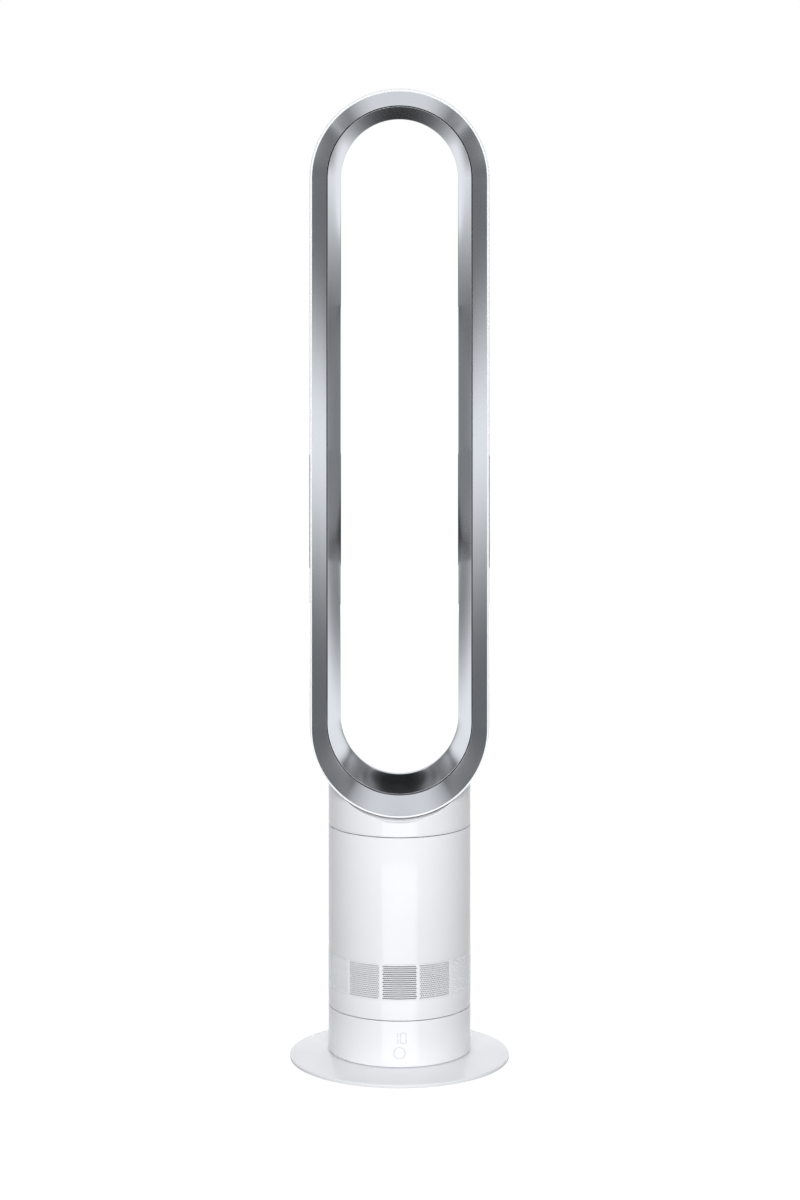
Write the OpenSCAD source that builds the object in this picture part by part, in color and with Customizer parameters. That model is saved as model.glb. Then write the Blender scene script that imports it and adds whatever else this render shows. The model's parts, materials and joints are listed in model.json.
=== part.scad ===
// Bladeless tower fan. Millimetres, +Z up, the front faces -Y.
// The origin is on the floor under the centre of the base plate.

/* [Base plate] */
// Radius of the round base plate
plate_r = 114; // [104:1:130]
// Height of the plate's flat top, where the casing stands, above the plate's underside
plate_h = 8.5; // [7.5:0.1:11]
// Height of the plate's upright outer edge
plate_edge_h = 3.2; // [2.4:0.1:4.5]
// Wall of the moulded plate
plate_wall = 2.4; // [1.8:0.1:3]
// Radius of one rubber foot
foot_r = 8; // [5:0.5:10]
// Height by which the feet stand proud of the plate
foot_proud = 1; // [0.6:0.1:2]

/* [Lower casing] */
// Outer radius of the casing, the turning body and the neck
case_r = 74; // [72:0.5:80]
// Wall of the lower casing
case_wall = 2.5; // [2:0.1:3]
// Height of the fixed lower casing with its seam
base_h = 47.7; // [47:0.1:56]
// Height of the dark groove at each seam
seam_gap = 0.8; // [0.5:0.1:1.2]

/* [Button and display] */
// Radius of the power button
button_r = 5.7; // [5:0.1:6.5]
// Height of the button's centre above the plate
button_up = 15.1; // [14:0.1:16]
// How far the button can be pressed
button_travel = 0.8; // [0.5:0.1:1]
// Height of the two display digits
digit_h = 11.6; // [9:0.1:12.5]
// Height of the digits' centre above the plate
digit_up = 30.2; // [30:0.1:32]

/* [Oscillation drive] */
// Teeth of the motor's pinion
pinion_teeth = 14; // [12:1:15]
// Teeth of the internal ring gear
ring_teeth = 70; // [66:1:72]
// Outer radius of the hollow hub
hub_r = 16; // [14:0.5:17]
// Radial running clearance between hub and bush
hub_clearance = 0.05; // [0.02:0.01:0.1]

/* [Turning body] */
// Height of the turning body with its seam
body_h = 186.3; // [184:0.5:230]
// Wall of the body
body_wall = 2.2; // [1.8:0.1:2.8]
// Height of the intake band's lower edge above the body's seam
band_up = 20.5; // [19:0.5:24]
// Height of the intake band
band_h = 37; // [30:0.5:38]
// Number of perforated panels round the band
panels = 12; // [8:1:14]
// Rows of holes in one panel
panel_rows = 6; // [4:1:8]
// Columns of holes in one panel
panel_columns = 6; // [4:1:8]

/* [Impeller] */
// Height of the impeller
impeller_h = 43; // [36:0.5:46]
// Blades on the impeller
blades = 9; // [5:1:11]
// Guide vanes round the bucket
vanes = 11; // [5:1:13]
// Gap between blade tips and housing
tip_gap = 0.8; // [0.5:0.1:1.2]

/* [Neck] */
// Height from the neck's seam to the lowest point of the air loop
neck_h = 13.9; // [13:0.1:18]
// Radius of the air inlet from the neck into the loop
inlet_r = 36; // [30:0.5:38]

/* [Air loop] */
// Radius of the loop's round ends over the outer casing
loop_r = 93.6; // [90:0.2:98]
// Height between the centres of the two round ends
loop_straight = 562.4; // [300:1:620]
// Depth of the loop from front to back
loop_depth = 110; // [100:1:118]
// Radius of the opening at its narrowest
throat_r = 61.3; // [57:0.1:64]
// Radius at which the dark outlet slot shows
slot_r = 74.9; // [73:0.1:77]
// Width of the outlet slot
slot_gap = 0.8; // [0.6:0.1:1.4]
// Wall of the loop's shells
loop_wall = 1.8; // [1.4:0.1:2.2]

/* [Hidden] */
$fa = 1.5;
$fs = 0.4;
// Overrun of every cut past the face it opens
overrun = 1;
// Fit between pieces that are fixed together
fit = 0.15;
// Steps along one curve of a profile
curve_steps = 9;
// Pressure angle of the gears
pressure_angle = 20;

// Heights of the main seams
plate_top = foot_proud + plate_h;
base_seam = plate_top + base_h;
neck_seam = base_seam + body_h;
loop_low = neck_seam + neck_h + loop_r;
loop_high = loop_low + loop_straight;
case_in = case_r - case_wall;
body_in = case_r - body_wall;
half_seam = seam_gap / 2;

// Base plate
plate_fillet = 0.9;
plate_rib_t = 1.8;
plate_ribs = 12;
foot_h = 2.4;
foot_count = 6;
foot_ring_r = plate_r - foot_r - 3 * plate_wall;
foot_cup_wall = 1.6;
base_screw_r = 1.7;
base_screw_head_r = 3.2;
base_screw_head_h = 2;
base_screw_l = 12;
// Distances in from the outside of the casing, body and neck
base_screw_ring_in = 22;
base_screw_ring_r = case_r - base_screw_ring_in;
base_screws_n = 4;

// Chassis inside the lower casing
chassis_r = case_in - 2 * fit;
chassis_t = 2;
chassis_top = plate_top + chassis_t;
boss_r = 4.4;
boss_h = 7;
main_board_t = 1.6;
main_board_x = 52;
main_board_y = 34;
main_board_shift = 22;

// Cable gland at the back
gland_up = 9;
gland_hole_r = 5.6;
gland_bore_r = 3.4;
gland_rim = 1.8;
gland_rim_t = 1.4;
gland_in = 5;

// Display, button and control board
digit_w = 6.8;
digit_gap = 1.7;
digit_off = 2.4;
segment_t = 1.2;
segment_depth = 0.9;
board_in = 12;
board_y = case_r - board_in;
board_t = 1.6;
board_w_share = 0.71;
board_w = board_y * board_w_share;
board_foot = 7.5;
board_h = 29.5;
display_w = 20;
display_margin = 1.6;
display_depth = 5.6;
switch_size = 6;
switch_h = 3.6;
plunger_r = 1.7;
plunger_l = 4.4;
plunger_out = 0.8;
button_gap = 0.25;
button_flange = 1.3;
button_flange_t = 1.2;
flange_gap = 0.5;
stem_r = 2.2;

// Deck with the hub
deck_t = 3;
deck_dish_in = 16;
deck_dish_r = case_r - deck_dish_in;
deck_drop = 6.7;
dish_drop = 16.2;
hub_wall = 4;
hub_up = 6.6;
deck_screw_ring_in = 7.8;
deck_screw_ring_r = case_r - deck_screw_ring_in;
deck_screws_n = 6;
deck_screw_r = 1.5;
deck_screw_head_r = 2.8;
deck_screw_head_h = 1.2;
deck_screw_l = 10;
deck_boss_r = 4;
glide_at = 2.4;
glide_w = 2;
glide_in = deck_dish_r + glide_at;
glide_out = glide_in + glide_w;
turntable_drop = 3.7;
turntable_t = 3;
turntable_gap = 0.5;

// Gears and motor
casing_modules_share = 59.2;
gear_module = case_r / casing_modules_share;
tooth_backlash = 0.12;
pinion_r = gear_module * pinion_teeth / 2;
ring_r = gear_module * ring_teeth / 2;
drive_offset = ring_r - pinion_r;
drive_angle = 90;
addendum_share = 1;
ring_addendum_share = 0.8;
dedendum_share = 1.25;
ring_back = 3.4;
gear_h = 6;
gear_up = 1.6;
shaft_r = 2.5;
drive_motor_r = 14;
drive_motor_h = 19;
drive_ear_w = 7;
drive_ear_r = 17.5;
drive_ear_t = 1;

// Bush and retaining ring
bush_wall = 2.2;
bush_lip = 2.4;
bush_lip_t = 1;
retainer_w = 6;
retainer_r = hub_r + retainer_w;
retainer_t = 1.8;
retainer_gap = 0.3;
retainer_screw_r = 1;
retainer_screw_head_r = 1.8;
retainer_screw_head_h = 1;
retainer_screw_l = 6;
retainer_screws_n = 4;

// Body
body_flange_t = 2.4;
body_flange_w = 22;
body_flange_in = case_r - body_flange_w;
body_screw_ring_in = 4;
body_screw_ring_r = body_flange_in + body_screw_ring_in;
body_screws_n = 6;
body_screw_r = 1.5;
body_screw_head_r = 2.9;
body_screw_head_h = 1.5;
ledge_w = 4.4;
ledge_up = 4.5;
top_flange_drop = 3;
housing_drop = 17;
pillar_w = 2.8;
hole_share = 0.56;
ledge_t = 2;
top_flange_t = 2.5;
top_flange_w = 10;
top_flange_in = case_r - top_flange_w;
panel_wall = 1.3;
foam_h = 12;
duct_in = 14;
duct_r = case_r - duct_in;
eye_share = 11 / 15;
eye_r = duct_r * eye_share;
bucket_share = 2 / 3;
bucket_r = duct_r * bucket_share;
foam_gap_in = 4;
foam_in = hub_r + retainer_w + foam_gap_in;
foam_gap = 6;
foam_out = case_r - foam_gap;
mount_t = 2;

// Impeller housing
bell_share = 0.95;
bell_r = duct_r * bell_share;
bell_h = 9;
housing_wall = 2;
housing_flange_t = 2.2;
housing_flange_r = body_in - 2 * fit;
exit_gap = 2;
hub_nose_share = 0.3;
hub_nose_r = bucket_r * hub_nose_share;
hub_wall_t = 2;
hub_boss_r = 7;
blade_t = 1.5;
blade_sweep = 62;
blade_root_share = 0.72;
impeller_lift = 1;
rotor_shaft_r = 3;
nut_r = 5.4;
nut_h = 4;
bucket_wall = 2;
bucket_floor_t = 4.5;
vane_t = 1.4;
vane_h_share = 0.477;
vane_bow = 9;
bearing_r = 8;
bearing_h = 4.5;
bearing_clearance = 0.03;
stator_share = 0.675;
stator_r = bucket_r * stator_share;
stator_in_share = 0.275;
stator_in = bucket_r * stator_in_share;
stator_h = 14;
stator_poles = 6;
pole_w = 6;
pole_tip_w = 9;
pole_tip_t = 2;
coil_t = 2.6;
coil_margin = 3;
magnet_gap = 0.6;
pedestal_t = 3;
pedestal_h = 3.5;
motor_cover_t = 2.5;
motor_cover_up = 4.5;
motor_board_t = 1.6;
motor_board_in_share = 0.3;
motor_board_in = bucket_r * motor_board_in_share;
motor_board_out_share = 0.8;
motor_board_out = bucket_r * motor_board_out_share;
motor_board_up = 2;
post_r = 2.4;
post_ring_share = 0.6;
post_ring_r = bucket_r * post_ring_share;
posts_n = 3;
cone_h = 20;

// Neck
deck_wall = 2.5;
saddle_gap = 0.3;
saddle_r = loop_r - 1;
spigot_wall = 2;
web_up = 2.5;
web_t = 2.5;
funnel_gap = 16;
funnel_in = case_r - funnel_gap;
outlet_seal_h = 9.5;
skirt_in = 13;
skirt_r = case_r - skirt_in;
skirt_t = 2.7;
hook_w = 3.6;
hook_t = 2.6;
hook_angle = 16;
notch_angle = 22;
notch_gap = 0.6;
notch_turn = 45;
hooks_n = 4;
seal_gap = 4.5;
seal_w = 4.5;
seal_out = case_r - seal_gap;
seal_in = seal_out - seal_w;
loop_boss_in = 20;
loop_boss_x = case_r - loop_boss_in;
loop_boss_y_share = 0.3;
loop_boss_y = case_r * loop_boss_y_share;
loop_boss_r = 4;
loop_screw_r = 1.5;
loop_screw_head_r = 2.5;
loop_screw_head_h = 1.8;
loop_screw_l = 14;

// Air loop profile, as distance from the arc centre and distance forwards
front = loop_depth / 2;
wide_share = 0.09;
wide_at = front * wide_share;
lip_drop = 2.3;
nose_share = 0.55;
nose_r = throat_r + (loop_r - throat_r) * nose_share;
throat_back_share = 0.4;
throat_at = -front * throat_back_share;
slot_at_share = 0.36;
slot_at = front * slot_at_share;
flare_share = 1.1;
slot_turn_share = 0.2;
tip_t = 0.6;
bezel_inset = 0.5;
bezel_clear = 0.1;
bezel_r = loop_r - lip_drop - loop_wall;
bezel_back = 9;
bezel_flange = 6;
spacer_angle = 1.2;
spacers_arc = 6;
spacers_side = 9;

// Shared shapes

// Upright solid cylinder from one height to another
module disc(r, low, high) {
    translate([0, 0, low]) cylinder(r = r, h = high - low);
}

// Upright tube from one height to another
module tube(r_out, r_in, low, high) {
    difference() {
        disc(r_out, low, high);
        disc(r_in, low - overrun, high + overrun);
    }
}

// Copies of the children round the upright axis
module around(n, start = 0) {
    for (i = [0:n - 1]) rotate([0, 0, start + i * 360 / n]) children();
}

// Copies of the children on a circle
module ring_of(n, r, start = 0) {
    around(n, start) translate([r, 0, 0]) children();
}

// Sector of a tube
module arc_block(r_out, r_in, low, high, angle) {
    translate([0, 0, low])
        rotate_extrude(angle = angle, start = -angle / 2)
            translate([r_in, 0]) square([r_out - r_in, high - low]);
}

// Screw with a cylindrical head below its shank, head face at height zero
module screw_up(shank_r, head_r, head_h, length) {
    cylinder(r = head_r, h = head_h);
    cylinder(r = shank_r, h = length);
}

// Cylinder that lies along Y, from one depth to another
module rod_y(r, near, far) {
    translate([0, far, 0]) rotate([90, 0, 0]) cylinder(r = r, h = far - near);
}

// Quarter of an ellipse as points, from angle zero to ninety degrees
function quarter(cx, cy, a, b) =
    [for (i = [0:curve_steps]) [cx + a * cos(90 * i / curve_steps), cy + b * sin(90 * i / curve_steps)]];

function reversed(list) = [for (i = [len(list) - 1:-1:0]) list[i]];

// Fixed base

// Bottom of the deck's flange, of its dish and of the turntable
deck_low = base_seam - deck_drop - deck_t;
dish_low = base_seam - dish_drop - deck_t;
turntable_low = base_seam - turntable_drop;
turntable_top = turntable_low + turntable_t;
turntable_r = case_in - turntable_gap;
button_z = plate_top + button_up;
digit_z = plate_top + digit_up;

module base_plate() {
    flat_r = case_r;
    rim_top = foot_proud + plate_edge_h;
    hollow_r = plate_r - plate_wall;
    color("whitesmoke") difference() {
        union() {
            rotate_extrude() polygon(concat(
                [[0, plate_top - plate_wall], [flat_r - plate_wall, plate_top - plate_wall],
                 [hollow_r - plate_wall, rim_top - plate_wall], [hollow_r, rim_top - plate_wall],
                 [hollow_r, foot_proud]],
                reversed(quarter(plate_r - plate_fillet, foot_proud + plate_fillet,
                    plate_fillet, -plate_fillet)),
                quarter(plate_r - plate_fillet, rim_top - plate_fillet, plate_fillet, plate_fillet),
                [[flat_r, plate_top], [0, plate_top]]));
            intersection() {
                union() {
                    around(plate_ribs, 180 / plate_ribs)
                        translate([0, -plate_rib_t / 2, foot_proud]) cube([plate_r, plate_rib_t, plate_h]);
                    tube(flat_r, flat_r - plate_wall, foot_proud, plate_top);
                }
                rotate_extrude() polygon([[base_screw_head_r, foot_proud + plate_wall / 2],
                    [hollow_r, foot_proud + plate_wall / 2], [hollow_r, rim_top - plate_wall / 2],
                    [flat_r, plate_top - plate_wall / 2], [base_screw_head_r, plate_top - plate_wall / 2]]);
            }
            ring_of(foot_count, foot_ring_r)
                disc(foot_r + foot_cup_wall, foot_proud, rim_top + foot_cup_wall);
            ring_of(base_screws_n, base_screw_ring_r, 45)
                disc(base_screw_head_r + plate_rib_t, foot_proud + plate_wall, plate_top - plate_wall / 2);
        }
        ring_of(foot_count, foot_ring_r) disc(foot_r, -overrun, foot_h);
        ring_of(base_screws_n, base_screw_ring_r, 45) {
            disc(base_screw_r, -overrun, plate_top + overrun);
            disc(base_screw_head_r + fit, -overrun, plate_top - plate_wall);
        }
    }
}

module plate_feet() {
    color("dimgray") ring_of(foot_count, foot_ring_r) disc(foot_r - fit, 0, foot_h);
}

module base_chassis() {
    color("gainsboro") difference() {
        union() {
            disc(chassis_r, plate_top, chassis_top);
            ring_of(base_screws_n, base_screw_ring_r, 45) disc(boss_r, plate_top, chassis_top + boss_h);
            tube(deck_dish_r - deck_t, deck_dish_r - 2 * deck_t, plate_top, chassis_top + deck_t);
            translate([0, -board_y + board_t, chassis_top])
                for (side = [-1, 1]) translate([side * board_w / 3, board_t / 2, 0])
                    cylinder(r = board_t, h = board_foot);
            for (x = [-1, 1], y = [-1, 1])
                translate([x * (main_board_x / 2 - boss_r), y * (main_board_y / 2 - boss_r)
                    - main_board_shift / 4, chassis_top]) cylinder(r = boss_r / 2, h = deck_t);
        }
        ring_of(base_screws_n, base_screw_ring_r, 45)
            disc(base_screw_r - fit, plate_top - overrun, chassis_top + boss_h + overrun);
    }
}

module base_screws() {
    color("silver") ring_of(base_screws_n, base_screw_ring_r, 45)
        translate([0, 0, plate_top - plate_wall - base_screw_head_h])
            screw_up(base_screw_r - fit, base_screw_head_r, base_screw_head_h, base_screw_l);
}

// Two digits, a one and a zero, as strokes on a plane that faces the front
module digit_strokes() {
    half = digit_h / 2;
    left = digit_off - (segment_t + digit_gap + digit_w) / 2;
    zero = left + segment_t + digit_gap;
    stroke = half - 1.5 * segment_t;
    for (up = [-1, 1]) {
        translate([left, up > 0 ? segment_t / 4 : -segment_t / 4 - half + segment_t / 4])
            square([segment_t, half - segment_t / 4]);
        for (side = [0, 1])
            translate([zero + side * (digit_w - segment_t), up > 0 ? segment_t / 2 : -segment_t / 2 - stroke])
                square([segment_t, stroke]);
        translate([zero + 1.25 * segment_t, up * (half - segment_t / 2) - segment_t / 2])
            square([digit_w - 2.5 * segment_t, segment_t]);
    }
}

module digit_block() {
    translate([0, 0, digit_z]) rotate([90, 0, 0])
        linear_extrude(height = case_r + overrun) digit_strokes();
}

module base_shell() {
    foot = [case_r - case_wall / 2, plate_top];
    color("white") difference() {
        union() {
            rotate_extrude() polygon([[case_in, plate_top], foot, foot + [0, seam_gap],
                [case_r, plate_top + seam_gap], [case_r, base_seam - half_seam],
                [case_in, base_seam - half_seam]]);
            intersection() {
                ring_of(deck_screws_n, deck_screw_ring_r) disc(deck_boss_r, deck_low - 2 * boss_h, deck_low);
                disc(case_in + case_wall / 2, plate_top, base_seam);
            }
            intersection() {
                ring_of(deck_screws_n, case_in)
                    translate([-deck_boss_r, -plate_rib_t / 2, deck_low - 2 * boss_h])
                        cube([deck_boss_r + case_wall / 2, plate_rib_t, 2 * boss_h]);
                disc(case_in + case_wall / 2, plate_top, base_seam);
            }
        }
        ring_of(deck_screws_n, deck_screw_ring_r)
            disc(deck_screw_r - fit, deck_low - deck_screw_l, deck_low + overrun);
        translate([0, 0, button_z]) rod_y(button_r + button_gap, -case_r - overrun, 0);
        difference() {
            digit_block();
            disc(case_r - segment_depth, plate_top, base_seam);
        }
        translate([0, 0, plate_top + gland_up]) rod_y(gland_hole_r, 0, case_r + overrun);
    }
}

module cable_gland() {
    color("dimgray") translate([0, 0, plate_top + gland_up]) difference() {
        union() {
            rod_y(gland_hole_r - fit, case_in - gland_in, case_r + gland_rim_t);
            difference() {
                rod_y(gland_hole_r + gland_rim, case_r - case_wall / 4, case_r + gland_rim_t);
                disc(case_r + fit / 2, -plate_top, base_h);
            }
        }
        rod_y(gland_bore_r, case_in - gland_in - overrun, case_r + gland_rim_t + overrun);
    }
}

module display_digits() {
    color("lightgray") intersection() {
        digit_block();
        tube(case_r, case_r - segment_depth, plate_top, base_seam);
    }
}

module display_module() {
    color("black")
        translate([-display_w / 2, -board_y - display_depth, digit_z - digit_h / 2 - display_margin])
            cube([display_w, display_depth, digit_h + 2 * display_margin]);
}

module control_board() {
    color("seagreen") difference() {
        translate([-board_w / 2, -board_y, chassis_top + board_foot - board_t])
            cube([board_w, board_t, board_h]);
        translate([0, -board_y + board_t, 0]) for (side = [-1, 1])
            translate([side * board_w / 3, board_t / 2, chassis_top])
                cylinder(r = board_t + fit, h = board_foot + fit);
    }
}

module tact_switch() {
    color("dimgray") difference() {
        translate([-switch_size / 2, -board_y - switch_h, button_z - switch_size / 2])
            cube([switch_size, switch_h, switch_size]);
        translate([0, 0, button_z]) rod_y(plunger_r + hub_clearance, -board_y - switch_h - overrun, -board_y);
    }
}

module switch_plunger() {
    color("ivory") translate([0, 0, button_z])
        rod_y(plunger_r, -board_y - switch_h - plunger_out,
            -board_y - switch_h - plunger_out + plunger_l - button_travel);
}

module power_button() {
    stem_end = -board_y - switch_h - plunger_out;
    flange_at = -sqrt(pow(case_in, 2) - pow(button_r + button_flange, 2)) + flange_gap;
    color("white") union() {
        intersection() {
            translate([0, 0, button_z]) rod_y(button_r, -case_r, flange_at + fit);
            disc(case_r, plate_top, base_seam);
        }
        translate([0, 0, button_z]) {
            rod_y(button_r + button_flange, flange_at, flange_at + button_flange_t);
            rod_y(stem_r, flange_at, stem_end);
        }
    }
}

// Circuit board with its taller parts: a transformer, two capacitors and a plug socket
module main_board() {
    board_low = chassis_top + deck_t;
    board_high = board_low + main_board_t;
    color("seagreen") translate([-main_board_x / 2, -main_board_y / 2 - main_board_shift / 4, board_low])
        cube([main_board_x, main_board_y, main_board_t]);
    color("goldenrod") translate([-main_board_x / 3, -main_board_shift / 2, board_high])
        cube([main_board_shift, main_board_shift * 3 / 4, deck_t * 4]);
    color("slategray") for (i = [0, 1])
        translate([main_board_x / 4, -main_board_shift / 2 + i * 3 * boss_r, board_high])
            cylinder(r = boss_r, h = deck_t * 4);
}

module base_deck() {
    hub_top = turntable_low + hub_up;
    hub_in = hub_r - hub_wall;
    wall_in = deck_dish_r - deck_t;
    glide_low = deck_low + deck_t / 2;
    color("gainsboro") difference() {
        rotate_extrude() polygon([[hub_in, dish_low], [deck_dish_r, dish_low], [deck_dish_r, deck_low],
            [case_in - fit, deck_low], [case_in - fit, deck_low + deck_t],
            [glide_out + fit, deck_low + deck_t],
            [glide_out + fit, glide_low], [glide_in - fit, glide_low], [glide_in - fit, deck_low + deck_t],
            [wall_in, deck_low + deck_t], [wall_in, dish_low + deck_t], [hub_r, dish_low + deck_t],
            [hub_r, hub_top], [hub_in, hub_top]]);
        ring_of(deck_screws_n, deck_screw_ring_r) {
            disc(deck_screw_r, deck_low - overrun, deck_low + deck_t + overrun);
            disc(deck_screw_head_r + fit, deck_low + deck_t - deck_screw_head_h, deck_low + deck_t + overrun);
        }
        ring_of(retainer_screws_n, hub_r - hub_wall / 2)
            disc(retainer_screw_r - fit / 2, hub_top - retainer_screw_l, hub_top + overrun);
        rotate([0, 0, drive_angle]) translate([drive_offset, 0, 0])
            disc(shaft_r + fit, dish_low - overrun, dish_low + deck_t + overrun);
    }
}

module deck_screws() {
    color("silver") ring_of(deck_screws_n, deck_screw_ring_r)
        translate([0, 0, deck_low + deck_t]) mirror([0, 0, 1])
            screw_up(deck_screw_r - fit, deck_screw_head_r, deck_screw_head_h, deck_screw_l - fit);
}

module glide_ring() {
    color("ivory") tube(glide_out, glide_in, deck_low + deck_t / 2, turntable_low);
}

module oscillation_motor() {
    color("silver") rotate([0, 0, drive_angle]) translate([drive_offset, 0, 0]) difference() {
        union() {
            disc(drive_motor_r, dish_low - drive_motor_h, dish_low);
            translate([0, 0, dish_low - drive_ear_t]) {
                for (side = [-1, 1]) translate([0, side * drive_ear_r, 0])
                    cylinder(r = drive_ear_w / 2, h = drive_ear_t);
                translate([-drive_ear_w / 2, -drive_ear_r, 0])
                    cube([drive_ear_w, 2 * drive_ear_r, drive_ear_t]);
            }
        }
        disc(shaft_r + fit / 3, dish_low - drive_motor_h / 2, dish_low + overrun);
    }
}

module retaining_ring() {
    low = turntable_low + hub_up;
    color("gainsboro") difference() {
        tube(retainer_r, hub_r - hub_wall, low, low + retainer_t);
        ring_of(retainer_screws_n, hub_r - hub_wall / 2)
            disc(retainer_screw_r, low - overrun, low + retainer_t + overrun);
    }
}

module retaining_screws() {
    color("silver") ring_of(retainer_screws_n, hub_r - hub_wall / 2)
        translate([0, 0, turntable_low + hub_up + retainer_t + retainer_screw_head_h]) mirror([0, 0, 1])
            screw_up(retainer_screw_r - fit / 2, retainer_screw_head_r, retainer_screw_head_h,
                retainer_screw_l);
}

// Gears

// Angle between the base circle and a point of the involute at a radius, seen from the centre
function involute_angle(r, base_r) =
    r <= base_r ? 0 : tan(acos(base_r / r)) * 180 / PI - acos(base_r / r);

// Half of a tooth's angle at a radius
function half_tooth(r, pitch_r, teeth, slack) =
    90 / teeth - slack + involute_angle(pitch_r, pitch_r * cos(pressure_angle))
    - involute_angle(r, pitch_r * cos(pressure_angle));

function on_circle(r, angle) = [r * cos(angle), r * sin(angle)];

// Outline of an external gear; tooth zero points along X
function gear_outline(teeth, root_r, tip_r, slack) =
    let (pitch_r = gear_module * teeth / 2, steps = 4)
    [for (i = [0:teeth - 1], j = [0:2 * steps + 1])
        let (k = j <= steps ? j : 2 * steps + 1 - j,
            r = root_r + (tip_r - root_r) * k / steps,
            side = j <= steps ? -1 : 1)
        on_circle(r, i * 360 / teeth + side * half_tooth(r, pitch_r, teeth, slack))];

module motor_output_shaft() {
    color("silver") rotate([0, 0, drive_angle]) translate([drive_offset, 0, 0])
        disc(shaft_r, dish_low - drive_motor_h / 2, dish_low + deck_t + gear_up + gear_h);
}

module drive_pinion() {
    low = dish_low + deck_t + gear_up;
    slack = tooth_backlash / pinion_r * 90 / PI;
    color("ivory") rotate([0, 0, drive_angle]) translate([drive_offset, 0, 0]) difference() {
        translate([0, 0, low]) linear_extrude(height = gear_h)
            polygon(gear_outline(pinion_teeth, pinion_r - dedendum_share * gear_module,
                pinion_r + addendum_share * gear_module, slack));
        disc(shaft_r, low - overrun, low + gear_h + overrun);
    }
}

module ring_gear() {
    low = dish_low + deck_t + gear_up;
    rim_r = ring_r + dedendum_share * gear_module + ring_back;
    slack = tooth_backlash / ring_r * 90 / PI;
    color("ivory") rotate([0, 0, drive_angle]) {
        translate([0, 0, low]) linear_extrude(height = gear_h) difference() {
            circle(r = rim_r);
            polygon(gear_outline(ring_teeth, ring_r - ring_addendum_share * gear_module,
                ring_r + dedendum_share * gear_module, -slack));
        }
        tube(rim_r, rim_r - ring_back + fit, low + gear_h, turntable_low);
    }
}

// Turning body

bush_r = hub_r + hub_clearance + bush_wall;
hub_top = turntable_low + hub_up;
bush_top = hub_top - retainer_gap;
flange_top = turntable_top + body_flange_t;
band_low = base_seam + band_up;
band_high = band_low + band_h;
ledge_top = band_high + ledge_up;
mount_top = ledge_top + mount_t;
eye_z = mount_top + bell_h;
impeller_low = eye_z + impeller_lift;
impeller_top = impeller_low + impeller_h;
bucket_low = impeller_top + exit_gap;
bucket_floor = bucket_low + bucket_floor_t;
stator_low = bucket_floor + pedestal_h;
stator_high = stator_low + stator_h;
bucket_high = stator_high + motor_cover_up;
cover_top = bucket_high + motor_cover_t;
housing_top = neck_seam - housing_drop;
body_flange_z = neck_seam - top_flange_drop;
panel_angle = 360 / panels - pillar_w / case_r * 180 / PI;

module turntable() {
    color("gainsboro") difference() {
        rotate_extrude() polygon([[bush_r, turntable_low], [turntable_r, turntable_low],
            [turntable_r, turntable_top], [bush_r + bush_lip, turntable_top],
            [bush_r + bush_lip, bush_top - bush_lip_t], [bush_r, bush_top - bush_lip_t]]);
        ring_of(body_screws_n, body_screw_ring_r) {
            disc(body_screw_r, turntable_low - overrun, turntable_top + overrun);
            disc(body_screw_head_r + fit, turntable_low - overrun, turntable_low + body_screw_head_h);
        }
    }
}

module hub_bush() {
    color("ivory") difference() {
        union() {
            disc(bush_r, turntable_low, bush_top);
            disc(bush_r + bush_lip, bush_top - bush_lip_t, bush_top);
        }
        disc(hub_r + hub_clearance, turntable_low - overrun, bush_top + overrun);
    }
}

module turntable_screws() {
    color("silver") ring_of(body_screws_n, body_screw_ring_r) translate([0, 0, turntable_low + fit])
        screw_up(body_screw_r - fit, body_screw_head_r, body_screw_head_h - fit,
            turntable_t + body_flange_t - fit);
}

module body_shell() {
    color("white") difference() {
        rotate_extrude() polygon([[body_flange_in, turntable_top], [turntable_r, turntable_top],
            [turntable_r, base_seam + half_seam], [case_r, base_seam + half_seam],
            [case_r, neck_seam - half_seam], [body_in, neck_seam - half_seam], [body_in, body_flange_z],
            [top_flange_in, body_flange_z], [top_flange_in, body_flange_z - top_flange_t],
            [body_in, body_flange_z - top_flange_t], [body_in, ledge_top], [body_in - ledge_w, ledge_top],
            [body_in - ledge_w, ledge_top - ledge_t / 2], [body_in, ledge_top - 2 * ledge_t],
            [body_in, flange_top], [body_flange_in, flange_top]]);
        around(panels, -90) arc_block(case_r + overrun, body_in - overrun, band_low, band_high, panel_angle);
        ring_of(body_screws_n, body_screw_ring_r)
            disc(body_screw_r - fit, turntable_top - overrun, flange_top + overrun);
        around(hooks_n, notch_turn)
            arc_block(top_flange_in + hook_w + notch_gap, top_flange_in - overrun,
                body_flange_z - top_flange_t - overrun, body_flange_z + overrun, notch_angle);
    }
}

// Twelve curved panels with staggered rows of holes
module intake_grille() {
    inner = case_r - panel_wall;
    step = panel_angle / (panel_columns + 1);
    rise = band_h / (panel_rows + 1 / 2);
    hole = min(step * PI / 180 * case_r, rise) * hole_share / 2;
    color("white") around(panels, -90) difference() {
        arc_block(case_r, inner, band_low + fit, band_high - fit, panel_angle - fit / 2);
        for (row = [0:panel_rows - 1], column = [0:panel_columns - 1])
            rotate([0, 0, (column - (panel_columns - 1) / 2 + (row % 2 - 1 / 2) / 2) * step])
                translate([inner - overrun, 0, band_low + (row + 3 / 4) * rise])
                    rotate([0, 90, 0]) cylinder(r = hole, h = panel_wall + 2 * overrun, $fn = 6);
    }
}

module silencer_foam() {
    color("dimgray") tube(foam_out, foam_in, flange_top, flange_top + foam_h);
}

module elastic_mount() {
    color("dimgray") tube(body_in - fit, body_in - ledge_w, ledge_top, mount_top);
}

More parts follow.
